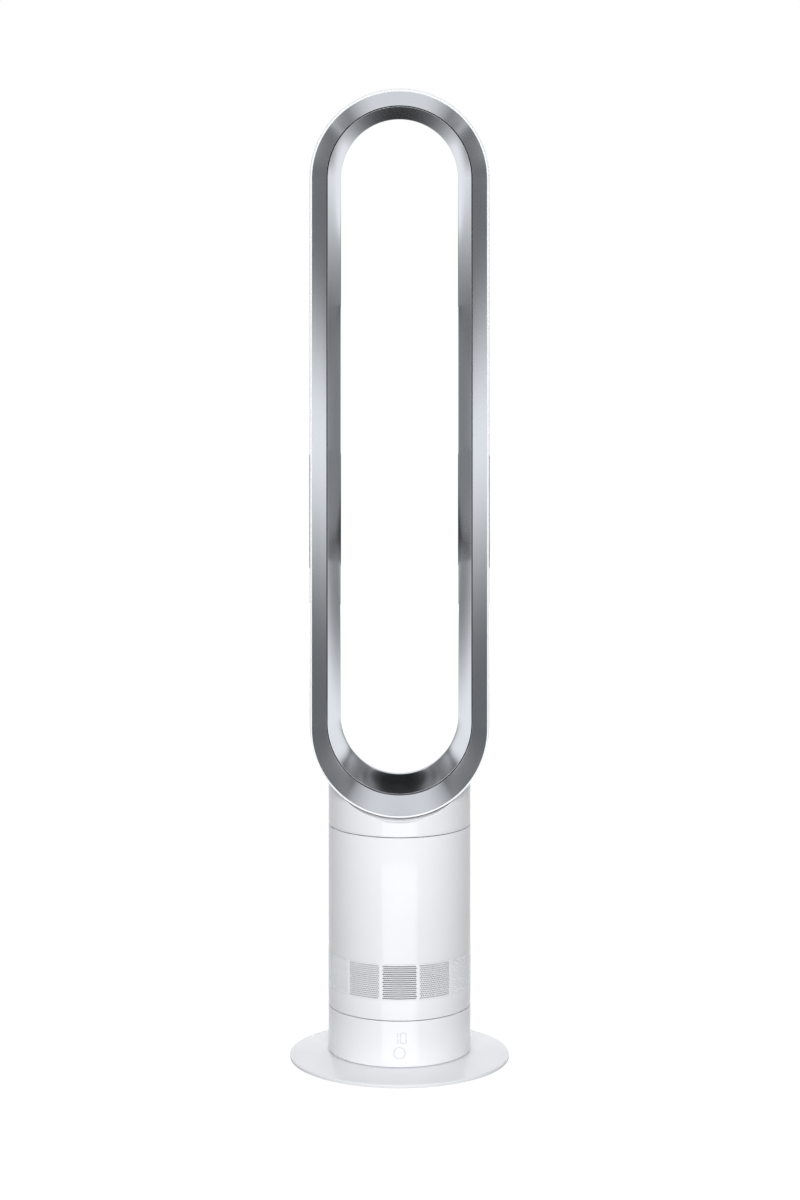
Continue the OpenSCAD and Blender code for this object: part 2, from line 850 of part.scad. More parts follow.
// Impeller housing: bell mouth, cone over the impeller and straight duct round the motor
module impeller_housing() {
    bell = quarter(bell_r, eye_z, eye_r - bell_r, -bell_h);
    color("gainsboro") rotate_extrude() polygon(concat(
        reversed(bell), [[duct_r, bucket_low], [duct_r, housing_top],
        [duct_r + housing_wall, housing_top], [duct_r + housing_wall, bucket_low],
        [eye_r + housing_wall, eye_z], [bell_r, mount_top + housing_flange_t],
        [housing_flange_r, mount_top + housing_flange_t], [housing_flange_r, mount_top]]));
}

module motor_bucket() {
    color("gainsboro") {
        tube(bucket_r, bucket_r - bucket_wall, bucket_low, bucket_high);
        tube(bucket_r - bucket_wall / 2, bearing_r, bucket_low, bucket_floor);
        tube(stator_r, stator_r - pedestal_t, bucket_floor - bucket_wall / 2, stator_low);
    }
}

// Cambered vanes that take the swirl out of the air; each is one outline carried outwards
module guide_vanes() {
    low = bucket_low + vane_t;
    vane_h = (housing_top - bucket_low) * vane_h_share;
    function bow(t) = vane_bow * pow(1 - t, 2);
    outline = [for (side = [-1, 1], i = [0:curve_steps])
        let (t = (side < 0 ? i : curve_steps - i) / curve_steps)
        [bow(t) + side * vane_t / 2, low + vane_h * t]];
    color("gainsboro") intersection() {
        around(vanes) translate([bucket_r - bucket_wall, 0, 0]) rotate([90, 0, 90])
            linear_extrude(height = duct_r - bucket_r + 2 * bucket_wall) polygon(outline);
        tube(duct_r, bucket_r, bucket_low, bucket_high);
    }
}

module motor_stator() {
    color("slategray") {
        tube(stator_r, stator_r - pedestal_t, stator_low, stator_high);
        intersection() {
            around(stator_poles) union() {
                translate([stator_in, -pole_w / 2, stator_low])
                    cube([stator_r - stator_in - pedestal_t / 2, pole_w, stator_h]);
                translate([stator_in - overrun, -pole_tip_w / 2, stator_low])
                    cube([pole_tip_t + overrun, pole_tip_w, stator_h]);
            }
            tube(stator_r - pedestal_t / 2, stator_in, stator_low, stator_high);
        }
    }
}

module motor_coils() {
    inner = stator_in + pole_tip_t + fit;
    length = stator_r - pedestal_t - inner - coil_margin / 2;
    color("peru") around(stator_poles) difference() {
        translate([inner, -pole_w / 2 - coil_t, stator_low - coil_t])
            cube([length, pole_w + 2 * coil_t, stator_h + 2 * coil_t]);
        translate([inner - overrun, -pole_w / 2, stator_low]) cube([length + 2 * overrun, pole_w, stator_h]);
    }
}

module bearing(low) {
    color("silver") tube(bearing_r, rotor_shaft_r + bearing_clearance, low, low + bearing_h);
}

module lower_bearing() {
    bearing(bucket_floor - bearing_h);
}

module upper_bearing() {
    bearing(cover_top - bearing_h);
}

module motor_cover() {
    color("gainsboro") {
        tube(bucket_r, bearing_r, bucket_high, cover_top);
        tube(bearing_r + bucket_wall, bearing_r, cover_top - bearing_h, bucket_high + fit);
        ring_of(posts_n, post_ring_r, 180 / posts_n) disc(post_r, cover_top - fit, cover_top + motor_board_up);
    }
}

module motor_board() {
    low = cover_top + motor_board_up;
    color("seagreen") tube(motor_board_out, motor_board_in, low, low + motor_board_t);
    color("black") ring_of(posts_n, post_ring_r) translate([0, 0, low + motor_board_t])
        translate([-post_r, -post_r, 0]) cube([2 * post_r, 2 * post_r, motor_board_t]);
}

// Domed tail of the motor bucket
module bucket_cone() {
    color("gainsboro") rotate_extrude() polygon(concat(
        [[0, cover_top + cone_h]], reversed(quarter(0, cover_top, bucket_r, cone_h)),
        quarter(0, cover_top, bucket_r - bucket_wall, cone_h - bucket_wall)));
}

module motor_shaft() {
    color("silver") disc(rotor_shaft_r, impeller_low - nut_h, cover_top);
}

// Radius of the impeller's hub at a share of its height, turning from axial to outward
function hub_point(t, wall) =
    [hub_nose_r + (bucket_r - hub_nose_r) * (1 - cos(60 * t)) / (1 - cos(60)) - wall,
    impeller_low + impeller_h * sin(60 * t) / sin(60)];

// Radius of the blade tips at a height
function tip_radius(z) = eye_r + (duct_r - eye_r) * (z - eye_z) / (bucket_low - eye_z) - tip_gap;

function blade_turn(r) = blade_sweep * pow((r - rotor_shaft_r) / (duct_r - rotor_shaft_r), blade_root_share);

module impeller() {
    hub = [for (i = [0:curve_steps]) hub_point(i / curve_steps, 0)];
    under = [for (i = [0:curve_steps]) hub_point(i / curve_steps, hub_wall_t)];
    middle = [for (i = [0:curve_steps]) hub_point(i / curve_steps, hub_wall_t / 2)];
    strip = [for (side = [-1, 1], i = [0:curve_steps])
        let (t = (side < 0 ? i : curve_steps - i) / curve_steps, r = hub_boss_r + (duct_r - hub_boss_r) * t)
        on_circle(r, blade_turn(r) + side * blade_t / r * 90 / PI)];
    color("lightslategray") difference() {
        union() {
            rotate_extrude() polygon(concat(hub, reversed(under)));
            disc(hub_nose_r - hub_wall_t / 2, impeller_low, impeller_low + hub_wall_t);
            disc(hub_boss_r, impeller_low, impeller_top);
            intersection() {
                around(blades) translate([0, 0, impeller_low])
                    linear_extrude(height = impeller_h) polygon(strip);
                rotate_extrude() polygon(concat(middle,
                    [[tip_radius(impeller_top), impeller_top], [tip_radius(impeller_low), impeller_low]]));
            }
        }
        disc(rotor_shaft_r, impeller_low - overrun, impeller_top + overrun);
    }
}

module rotor_magnet() {
    color("dimgray") tube(stator_in - magnet_gap, rotor_shaft_r, stator_low, stator_high);
}

module impeller_nut() {
    color("silver") difference() {
        translate([0, 0, impeller_low - nut_h]) cylinder(r = nut_r, h = nut_h, $fn = 6);
        disc(rotor_shaft_r, impeller_low - nut_h - overrun, impeller_low + overrun);
    }
}

// Neck

web_low = neck_seam + web_up;
web_top = web_low + web_t;
funnel_low = housing_top + outlet_seal_h;

module outlet_seal() {
    color("dimgray") tube(skirt_r - fit, funnel_in, housing_top, funnel_low);
}

module neck_seal() {
    color("dimgray") tube(seal_out, seal_in, body_flange_z, web_low);
}

// Solid of revolution about the axis of the lower round end, along the depth
module about_low_end(outline) {
    translate([0, 0, loop_low]) rotate([90, 0, 0]) rotate_extrude() polygon(outline);
}

// Half outline of the outer casing, grown by a gap and never smaller than a radius
function casing_envelope(gap, least) = concat([[0, -case_r - overrun]],
    [[least, -case_r - overrun]],
    [for (i = [curve_steps:-1:1]) let (p = casing_back(i / curve_steps)) [max(p[0] + gap, least), p[1]]],
    [for (i = [0:curve_steps]) let (p = casing_front(i / curve_steps)) [max(p[0] + gap, least), p[1]]],
    [[least, case_r + overrun]], [[0, case_r + overrun]]);

module neck_collar() {
    skirt_low = body_flange_z - top_flange_t - hook_t;
    color("white") {
        // Outer wall and saddle
        difference() {
            disc(case_r, neck_seam + half_seam, loop_low);
            difference() {
                disc(case_r - deck_wall, neck_seam, loop_low);
                about_low_end(casing_envelope(saddle_gap + deck_wall, saddle_r + deck_wall));
            }
            about_low_end(casing_envelope(saddle_gap, saddle_r));
            disc(inlet_r + spigot_wall / 2, neck_seam, loop_low);
            for (x = [-1, 1], y = [-1, 1])
                translate([x * loop_boss_x, y * loop_boss_y, 0])
                    disc(loop_boss_r + 2 * fit, neck_seam, loop_low);
        }
        // Funnel, web, spigot and bayonet skirt
        difference() {
            union() {
                rotate_extrude() polygon([[funnel_in, funnel_low], [inlet_r, web_low], [inlet_r, loop_low],
                    [inlet_r + spigot_wall, loop_low], [inlet_r + spigot_wall, web_top],
                    [case_r - deck_wall / 2, web_top], [case_r - deck_wall / 2, web_low],
                    [skirt_r + skirt_t, web_low], [skirt_r + skirt_t, body_flange_z + fit],
                    [skirt_r, body_flange_z + fit], [skirt_r, web_low], [inlet_r + 3 * spigot_wall, web_low],
                    [funnel_in + spigot_wall, funnel_low]]);
                around(hooks_n, notch_turn / 2) rotate_extrude(angle = hook_angle, start = -hook_angle / 2)
                    polygon([[skirt_r + fit, skirt_low], [skirt_r + skirt_t + hook_w, skirt_low],
                        [skirt_r + skirt_t + hook_w, skirt_low + hook_t - fit],
                        [skirt_r + skirt_t - fit, skirt_low + hook_t - fit],
                        [skirt_r + skirt_t - fit, web_low + web_t / 2],
                        [skirt_r + fit, web_low + web_t / 2]]);
            }
            about_low_end(casing_inside());
            for (x = [-1, 1], y = [-1, 1])
                translate([x * loop_boss_x, y * loop_boss_y, 0])
                    disc(loop_screw_r, web_low - overrun, web_top + overrun);
        }
    }
}

module loop_screws() {
    color("silver") for (x = [-1, 1], y = [-1, 1])
        translate([x * loop_boss_x, y * loop_boss_y, web_low - loop_screw_head_h])
            screw_up(loop_screw_r - fit, loop_screw_head_r, loop_screw_head_h, loop_screw_l);
}

// Air loop

// Outer casing from its widest place forwards to the lip
function casing_front(t) = [loop_r - lip_drop * pow(t, 2), wide_at + (front - wide_at) * t];

// Outer casing from its widest place backwards to the nose
function casing_back(t) =
    [nose_r + (loop_r - nose_r) * cos(90 * t), wide_at - (front + wide_at) * sin(90 * t)];

function casing_back_inside(t) = [nose_r + (loop_r - loop_wall - nose_r) * cos(90 * t),
    wide_at - (front + wide_at - loop_wall) * sin(90 * t)];

// Inner wall from the nose forwards to the throat
function wall_back(t) = [throat_r + (nose_r - throat_r) * (1 - sin(90 * t)),
    throat_at - (front + throat_at) * cos(90 * t)];

function wall_back_inside(t) = [throat_r + loop_wall + (nose_r - throat_r - loop_wall) * (1 - sin(90 * t)),
    throat_at - (front + throat_at - loop_wall) * cos(90 * t)];

// Inner wall from the throat forwards to its thin tip at the slot
function wall_front(t) = [throat_r + (slot_r - slot_gap / 2 - tip_t - throat_r) * pow(t, flare_share),
    throat_at + (slot_at - throat_at) * t];

function wall_front_inside(t) = wall_front(t) + [loop_wall + (tip_t - loop_wall) * t, 0];

// Front band: from behind the tip of the inner wall to the lip
bezel_start = [slot_r + slot_gap / 2, slot_at];
bezel_end = [bezel_r - bezel_clear, front - bezel_inset];
bezel_slope = (bezel_end[0] - bezel_start[0]) / (bezel_end[1] - bezel_start[1]);

function bezel_face(f) = [bezel_start[0] + bezel_slope * (f - bezel_start[1])
    * (f < slot_at ? slot_turn_share : 1), f];

casing_outline = concat([for (i = [curve_steps:-1:0]) casing_front(i / curve_steps)],
    [for (i = [1:curve_steps]) casing_back(i / curve_steps)],
    [for (i = [curve_steps:-1:1]) casing_back_inside(i / curve_steps)],
    [for (i = [0:curve_steps]) casing_front(i / curve_steps) - [loop_wall, 0]]);

wall_outline = concat([for (i = [0:curve_steps]) wall_back(i / curve_steps)],
    [for (i = [1:curve_steps]) wall_front(i / curve_steps)],
    [for (i = [curve_steps:-1:0]) wall_front_inside(i / curve_steps)],
    [for (i = [curve_steps - 1:-1:0]) wall_back_inside(i / curve_steps)]);

// The band's outer flange follows the inside of the casing's lip
function under_lip(f) = [loop_r - lip_drop * pow((f - wide_at) / (front - wide_at), 2)
    - loop_wall - bezel_clear, f];

bezel_outline = concat([bezel_face(slot_at - bezel_back), bezel_face(slot_at), bezel_end],
    [for (i = [0:2]) under_lip(bezel_end[1] - bezel_flange * i / 2)],
    [bezel_face(bezel_end[1] - bezel_flange - loop_wall) + [loop_wall, 0],
     bezel_face(slot_at) + [loop_wall, 0], bezel_face(slot_at - bezel_back) + [loop_wall, 0]]);

spacer_outline = let (high = (curve_steps - 1) / curve_steps, low = (curve_steps - 2) / curve_steps)
    [wall_front_inside(low), wall_front_inside(high), bezel_face(wall_front(high)[1]),
     bezel_face(wall_front(low)[1])];

function casing_inside() = concat([[0, -front - overrun]], [[nose_r, -front - overrun]],
    [for (i = [curve_steps:-1:1]) casing_back_inside(i / curve_steps)],
    [for (i = [0:curve_steps]) casing_front(i / curve_steps) - [loop_wall, 0]], [[0, front]]);

// One round end, above its centre
module round_end(outline, angle = 180, start = 0) {
    rotate([90, 0, 0]) rotate_extrude(angle = angle, start = start) polygon(outline);
}

// Straight side to the right of the centre, standing at height zero
module straight_side(outline, height) {
    linear_extrude(height = height) mirror([0, 1, 0]) polygon(outline);
}

// Two round ends and two straight sides, with a butt joint of that gap at each end of a side
module loop_of(outline, joint = 0) {
    translate([0, 0, loop_high]) round_end(outline);
    translate([0, 0, loop_low]) {
        rotate([0, 180, 0]) round_end(outline);
        for (side = [0, 1]) mirror([side, 0, 0]) translate([0, 0, joint])
            straight_side(outline, loop_straight - 2 * joint);
    }
}

module loop_outer_casing() {
    color("white") difference() {
        union() {
            loop_of(casing_outline);
            difference() {
                for (x = [-1, 1], y = [-1, 1])
                    translate([x * loop_boss_x, y * loop_boss_y, 0])
                        disc(loop_boss_r, web_top, loop_low - throat_r);
                about_low_end(casing_middle());
            }
        }
        disc(inlet_r + spigot_wall + fit, web_top, loop_low - throat_r);
        for (x = [-1, 1], y = [-1, 1]) translate([x * loop_boss_x, y * loop_boss_y, 0])
            disc(loop_screw_r - fit, web_top - overrun, web_low - loop_screw_head_h + loop_screw_l);
    }
}

function casing_middle() = concat([[0, -front + loop_wall / 2]], [[nose_r, -front + loop_wall / 2]],
    [for (i = [curve_steps:-1:1]) casing_back(i / curve_steps) - [loop_wall / 2, 0]],
    [for (i = [0:curve_steps]) casing_front(i / curve_steps) - [loop_wall / 2, 0]], [[0, front]]);

// Moulded ends and drawn sides, butted end to end
module loop_inner_wall() {
    color("silver") loop_of(wall_outline, fit);
}

module loop_front_bezel() {
    color("silver") loop_of(bezel_outline);
}

// Small webs that keep the slot open
module slot_spacers() {
    color("dimgray") {
        for (i = [1:spacers_arc]) {
            turn = 180 * i / (spacers_arc + 1) - spacer_angle / 2;
            translate([0, 0, loop_high]) round_end(spacer_outline, spacer_angle, turn);
            translate([0, 0, loop_low]) rotate([0, 180, 0]) round_end(spacer_outline, spacer_angle, turn);
        }
        for (i = [1:spacers_side], side = [0, 1])
            translate([0, 0, loop_low + loop_straight * i / (spacers_side + 1)])
                mirror([side, 0, 0]) straight_side(spacer_outline, loop_wall);
    }
}

base_plate();
plate_feet();
base_chassis();
base_screws();
base_shell();
cable_gland();
display_digits();
display_module();
control_board();
tact_switch();
main_board();
base_deck();
deck_screws();
glide_ring();
oscillation_motor();
retaining_ring();
retaining_screws();
motor_output_shaft();
drive_pinion();
power_button();
switch_plunger();
turntable();
ring_gear();
hub_bush();
turntable_screws();
body_shell();
intake_grille();
silencer_foam();
elastic_mount();
impeller_housing();
motor_bucket();
guide_vanes();
motor_stator();
motor_coils();
lower_bearing();
upper_bearing();
motor_cover();
motor_board();
bucket_cone();
motor_shaft();
impeller();
rotor_magnet();
impeller_nut();
outlet_seal();
neck_seal();
neck_collar();
loop_screws();
loop_outer_casing();
loop_inner_wall();
loop_front_bezel();
slot_spacers();
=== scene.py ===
"""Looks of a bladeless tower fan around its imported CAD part.
Metres, +Z up, the front faces -Y. The origin is on the floor under the base plate's centre."""

import json
import math

import bmesh
import bpy
import numpy as np
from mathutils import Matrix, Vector


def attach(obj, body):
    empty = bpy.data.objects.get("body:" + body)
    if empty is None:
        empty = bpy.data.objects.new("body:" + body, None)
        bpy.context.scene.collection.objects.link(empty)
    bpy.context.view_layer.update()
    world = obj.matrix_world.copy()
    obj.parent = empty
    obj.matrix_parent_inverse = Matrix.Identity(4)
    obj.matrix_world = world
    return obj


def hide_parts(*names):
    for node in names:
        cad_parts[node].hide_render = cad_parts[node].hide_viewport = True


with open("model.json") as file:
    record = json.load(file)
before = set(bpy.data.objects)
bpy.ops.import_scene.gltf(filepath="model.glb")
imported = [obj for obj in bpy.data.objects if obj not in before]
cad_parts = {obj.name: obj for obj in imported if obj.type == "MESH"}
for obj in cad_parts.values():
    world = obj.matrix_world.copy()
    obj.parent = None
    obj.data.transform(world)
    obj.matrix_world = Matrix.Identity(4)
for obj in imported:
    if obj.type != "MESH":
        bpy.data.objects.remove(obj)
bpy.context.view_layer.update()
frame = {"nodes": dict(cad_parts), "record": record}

MM = 0.001
TURN = 2 * math.pi

# Sizes, as in the part's source
CASE_R = 74 * MM
SEAM_GAP = 0.8 * MM
BASE_SEAM = 57.2 * MM
NECK_SEAM = 243.5 * MM
LOOP_LOW = 351.0 * MM
LOOP_HIGH = 913.4 * MM
BAND_LOW, BAND_HIGH = 77.7 * MM, 114.7 * MM
PANELS = 12
PILLAR_W = 2.8 * MM


# Colour and node helpers
def linear(hex_colour):
    """Turns an sRGB hex colour into linear RGBA: a 12.92 slope near black, a 2.4 power above."""
    parts = [int(hex_colour[i:i + 2], 16) / 255 for i in (1, 3, 5)]
    return [c / 12.92 if c <= 0.04045 else ((c + 0.055) / 1.055) ** 2.4 for c in parts] + [1.0]


def add(tree, kind, settings=None, inputs=None):
    """Adds one node. Settings go to its properties; an input is a value, or a socket to link."""
    made = tree.nodes.new(kind)
    for name, value in (settings or {}).items():
        setattr(made, name, value)
    for name, value in (inputs or {}).items():
        socket = made.inputs[name]
        if isinstance(value, bpy.types.NodeSocket):
            tree.links.new(value, socket)
        else:
            socket.default_value = value
    return made


def empty_material(name):
    """A material with no nodes yet, and its node tree."""
    material = bpy.data.materials.new(name)
    material.use_nodes = True
    material.node_tree.nodes.clear()
    return material, material.node_tree


def new_material(name):
    """A material with its Principled shader linked to the output."""
    material, tree = empty_material(name)
    shader = add(tree, "ShaderNodeBsdfPrincipled")
    add(tree, "ShaderNodeOutputMaterial", inputs={"Surface": shader.outputs[0]})
    return material, tree, shader


def finish_of(name, low, high, grain_mm, roughness, spread=0.04, bump_mm=0.0, bump_grain_mm=1.0,
              metallic=0.0, stretch=(1, 1, 1), constants=None):
    """A surface finish from object-space noise: the colour drifts from low to high over grains of
    grain_mm, the roughness drifts by spread with it, and a finer noise lifts the surface by
    bump_mm."""
    material, tree, shader = new_material(name)
    place = add(tree, "ShaderNodeTexCoord").outputs["Object"]
    mapping = add(tree, "ShaderNodeMapping", inputs={"Vector": place, "Scale": stretch})
    spread_out = mapping.outputs[0]
    noise = add(tree, "ShaderNodeTexNoise", inputs={
        "Vector": spread_out, "Scale": 1 / (grain_mm * MM), "Detail": 3.0, "Roughness": 0.55})
    colour = add(tree, "ShaderNodeMix", {"data_type": "RGBA"}, {
        "Factor": noise.outputs[0], "A": linear(low), "B": linear(high)})
    rough = add(tree, "ShaderNodeMapRange", inputs={
        "Value": noise.outputs[0], "From Min": 0.3, "From Max": 0.7,
        "To Min": max(roughness - spread, 0.02), "To Max": min(roughness + spread, 1)})
    tree.links.new(colour.outputs["Result"], shader.inputs["Base Color"])
    tree.links.new(rough.outputs[0], shader.inputs["Roughness"])
    shader.inputs["Metallic"].default_value = metallic
    for socket, value in (constants or {}).items():
        shader.inputs[socket].default_value = value
    if bump_mm:
        fine = add(tree, "ShaderNodeTexNoise", inputs={
            "Vector": spread_out, "Scale": 1 / (bump_grain_mm * MM), "Detail": 2.0})
        lift = add(tree, "ShaderNodeBump", inputs={
            "Height": fine.outputs[0], "Distance": bump_mm * MM, "Strength": 1.0})
        tree.links.new(lift.outputs[0], shader.inputs["Normal"])
    return material


# Finishes
# Glossy injection-moulded ABS: near white, a soft clear reflection, and the faint long ripple of
# a polished mould
WHITE = finish_of("white_gloss_moulded_ABS", "#EDEFF3", "#F2F3F6", 60, 0.10, 0.02, 0.0015, 9,
                  constants={"IOR": 1.50})
# Silver lacquer over ABS: metal flakes under satin varnish, so it mirrors broad soft light only
SILVER = finish_of("silver_lacquer_satin", "#CDCFD4", "#D4D6DA", 0.8, 0.10, 0.015, 0.0, 0.6,
                   metallic=1.0)
# Soft rubber: dark, matt, slightly mottled by its moulding
RUBBER = finish_of("black_rubber_moulded", "#161617", "#222224", 4, 0.72, 0.08, 0.02, 0.7)
# Grey glass-filled nylon: dull, with short fibres that show as a fine mottle
NYLON = finish_of("grey_nylon_moulded", "#6E7276", "#7C8084", 2.5, 0.5, 0.08, 0.008, 0.6)
# Acetal: milky white, waxy and slippery, for gears and slide rings
ACETAL = finish_of("acetal_natural_machined", "#E2E2DC", "#ECECE7", 6, 0.34, 0.05, 0.004, 0.5)
# Zinc-plated steel: bright, slightly blue and cloudy
STEEL = finish_of("zinc_plated_steel", "#9FA3A8", "#BCC0C4", 3, 0.28, 0.08, 0.002, 0.4, metallic=1.0)
# Drawn steel can of the motors: dull grey with long drawing marks along its height
MOTOR_CAN = finish_of("drawn_steel_can", "#8B8F93", "#A6AAAD", 2, 0.36, 0.07, 0.003, 0.5,
                      metallic=1.0, stretch=(1, 1, 0.12))
# Enamelled copper wire: warm orange brown, each turn shown by bands a wire apart
COPPER = finish_of("enamelled_copper_wire", "#8E4A22", "#C0733A", 1.0, 0.32, 0.06, 0.12, 0.5,
                   metallic=1.0, stretch=(0.2, 0.2, 1))
# Sintered magnet: dark grey, finely grainy, with a nickel flash
MAGNET = finish_of("sintered_magnet", "#4A4C50", "#5C5E62", 1.2, 0.42, 0.06, 0.01, 0.4, metallic=0.6)
# Fibreglass circuit board under green solder resist
BOARD = finish_of("circuit_board_resist", "#0F4A2C", "#186238", 2.2, 0.34, 0.05, 0.01, 0.5)
# Black ABS with a fine spark-eroded texture
BLACK = finish_of("black_moulded_ABS", "#121315", "#1C1D20", 3, 0.45, 0.07, 0.01, 0.5)
# Grey translucent digits behind a glossy face
DIGIT = finish_of("grey_display_polycarbonate", "#D6D9DE", "#DCDFE3", 3, 0.16, 0.03, 0.0, 0.5)
# Open-cell foam: dark grey and pitted
FOAM = finish_of("open_cell_foam", "#26272A", "#45474B", 1.6, 0.92, 0.05, 0.5, 1.4)
# Blue-grey glass-filled nylon of the impeller
IMPELLER = finish_of("impeller_nylon_moulded", "#5E6C7C", "#6E7D8E", 3, 0.38, 0.06, 0.006, 0.6)

SLOTS = {
    "white_gloss": WHITE, "silver_satin": SILVER, "black_rubber": RUBBER, "grey_moulding": NYLON,
    "acetal": ACETAL, "steel": STEEL, "motor_can": MOTOR_CAN, "copper_winding": COPPER,
    "magnet": MAGNET, "circuit_board": BOARD, "black_moulding": BLACK, "display_grey": DIGIT,
    "foam": FOAM, "impeller_blue_grey": IMPELLER}


def dress_nodes():
    """Every CAD node takes the finish of its slot in the record."""
    for part in frame["record"]["subparts"]:
        mesh = frame["nodes"][part["node"]].data
        mesh.materials.clear()
        mesh.materials.append(SLOTS[part["material_slot"]])


dress_nodes()


# Mesh helpers
def grid_faces(rows, columns, wrap_rows, wrap_columns):
    """Quads over a grid of points stored row by row. A wrapped side joins its last line to its
    first."""
    r = np.arange(rows if wrap_rows else rows - 1)[:, None]
    c = np.arange(columns if wrap_columns else columns - 1)[None, :]
    r2, c2 = (r + 1) % rows, (c + 1) % columns
    corners = [r * columns + c, r * columns + c2, r2 * columns + c2, r2 * columns + c]
    return np.stack([np.broadcast_to(k, (r.size, c.size)) for k in corners], -1).reshape(-1, 4)


def mesh_piece(name, shape, material, body, sharp_deg=38, weld=False):
    """One mesh object from an array of points and an array of quads, smooth but for edges sharper
    than sharp_deg, riding on a body of the frame. Welding joins points closer than a micrometre."""
    points, faces = shape
    mesh = bpy.data.meshes.new(name)
    mesh.vertices.add(len(points))
    mesh.vertices.foreach_set("co", np.asarray(points, np.float32).ravel())
    mesh.loops.add(faces.size)
    mesh.loops.foreach_set("vertex_index", faces.astype(np.int32).ravel())
    mesh.polygons.add(len(faces))
    mesh.polygons.foreach_set("loop_start", np.arange(len(faces), dtype=np.int32) * faces.shape[1])
    mesh.update(calc_edges=True)
    if weld:
        joined = bmesh.new()
        joined.from_mesh(mesh)
        bmesh.ops.remove_doubles(joined, verts=joined.verts, dist=0.001 * MM)
        joined.to_mesh(mesh)
        joined.free()
    mesh.validate()
    mesh.polygons.foreach_set("use_smooth", np.ones(len(mesh.polygons), bool))
    mesh.set_sharp_from_angle(angle=math.radians(sharp_deg))
    mesh.materials.append(material)
    piece = bpy.data.objects.new(name, mesh)
    bpy.context.scene.collection.objects.link(piece)
    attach(piece, body)
    return piece


def stands_for(piece, slot, *nodes):
    """The piece is shown in place of these CAD nodes, which are hidden. The slot is not used."""
    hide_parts(*nodes)


def merged(*shapes):
    """Joins several (points, faces) pairs into one."""
    starts = np.cumsum([0] + [len(points) for points, _ in shapes])[:-1]
    return (np.concatenate([points for points, _ in shapes]),
            np.concatenate([faces + k for (_, faces), k in zip(shapes, starts)]))


def clockwise(outline):
    """The closed outline in the order that makes its faces point outwards: its signed area, the
    half sum of the cross products of neighbours, is made negative."""
    outline = np.asarray(outline, float)
    after = np.roll(outline, -1, 0)
    area = np.sum(outline[:, 0] * after[:, 1] - outline[:, 1] * after[:, 0]) / 2
    return outline if area < 0 else outline[::-1]


def rounded(corners, radii, steps=4):
    """Closed outline with each corner swapped for a curve: the points at the distance of the radius
    along both sides are joined by a quadratic curve with the corner as its handle."""
    corners = np.asarray(corners, float) * MM
    before, after = np.roll(corners, 1, 0) - corners, np.roll(corners, -1, 0) - corners
    reach = np.broadcast_to(np.asarray(radii, float) * MM, (len(corners),))[:, None]
    a = corners + before / np.linalg.norm(before, axis=1)[:, None] * reach
    b = corners + after / np.linalg.norm(after, axis=1)[:, None] * reach
    t = np.linspace(0, 1, steps)[None, :, None]
    curve = (1 - t) ** 2 * a[:, None] + 2 * t * (1 - t) * corners[:, None] + t ** 2 * b[:, None]
    return curve.reshape(-1, 2)


def turned(outline, count=192):
    """Surface of revolution about Z: each outline point (radius, height) runs round the circle."""
    angle = np.arange(count) * TURN / count
    r, z = clockwise(outline).T
    points = np.stack([np.outer(np.cos(angle), r), np.outer(np.sin(angle), r),
                       np.broadcast_to(z, (count, len(z)))], -1).reshape(-1, 3)
    return points, grid_faces(count, len(z), True, True)


def on_casing(along, up, depth, radius=CASE_R):
    """Points of the casing's cylinder: along is the length of arc from the front's middle line,
    up the height, and depth the distance in from the cylinder, straight to its axis."""
    turn, up, inside = np.broadcast_arrays(along / radius, up, radius - depth)
    return np.stack([inside * np.sin(turn), -inside * np.cos(turn), up], -1)


# The air loop
def loop_path(arc_steps=72, side_steps=12):
    """The loop's track as arrays of cosine, sine and centre height: half a turn round the upper
    centre, down the left side, half a turn round the lower centre, and up the right side."""
    half = np.linspace(0, math.pi, arc_steps + 1)
    down = np.linspace(LOOP_HIGH, LOOP_LOW, side_steps + 1)[1:-1]
    left, right = np.full(len(down), math.pi), np.full(len(down), TURN)
    angle = np.concatenate([half, left, half + math.pi, right])
    height = np.concatenate([np.full(len(half), LOOP_HIGH), down,
                             np.full(len(half), LOOP_LOW), down[::-1]])
    return np.cos(angle), np.sin(angle), height


def along_loop(outline):
    """Carries a closed outline (distance from the arc centre, distance forwards) along the track."""
    cosine, sine, height = loop_path()
    reach, forward = clockwise(outline).T
    points = np.stack([np.outer(cosine, reach), np.broadcast_to(-forward, (len(cosine), len(reach))),
                       np.outer(sine, reach) + height[:, None]], -1).reshape(-1, 3)
    return points, grid_faces(len(cosine), len(reach), True, True)


# Corners of the loop's section in millimetres: reach from the arc centre, distance forwards
WIDEST = np.array([93.52, 4.95])
FRONT_LIP = np.array([91.3, 55.0])
BACK_CROWN = np.array([79.065, -55.0])
THROAT = np.array([61.3, -22.0])
FLARE_END = np.array([74.2, 19.8])
FLARE_POWER = 1.04


def between(start, end, reach_share, forward_share):
    """Points between two corners: each of the two directions has its own share of the way."""
    return (start + (end - start) * np.stack([reach_share, forward_share], -1)) * MM


def casing_front(t):
    """Outer face from the widest line forwards: the reach falls with the square of t."""
    return between(WIDEST, FRONT_LIP, t ** 2, t)


def casing_back(t):
    """Outer face from the widest line to the back: a quarter of an ellipse."""
    a = t * math.pi / 2
    return between(WIDEST, BACK_CROWN, 1 - np.cos(a), np.sin(a))


def wall_back(t):
    """Inner face from the back crown to the narrowest line: a quarter of an ellipse."""
    a = t * math.pi / 2
    return between(BACK_CROWN, THROAT, np.sin(a), 1 - np.cos(a))


def wall_front(t):
    """Inner face from the narrowest line forwards: it flares almost straight, with a power of t."""
    return between(THROAT, FLARE_END, t ** FLARE_POWER, t)


# Power of the sine in a wall's end cap: under 1 it makes the half ellipse fuller
CAP_POWER = 0.6


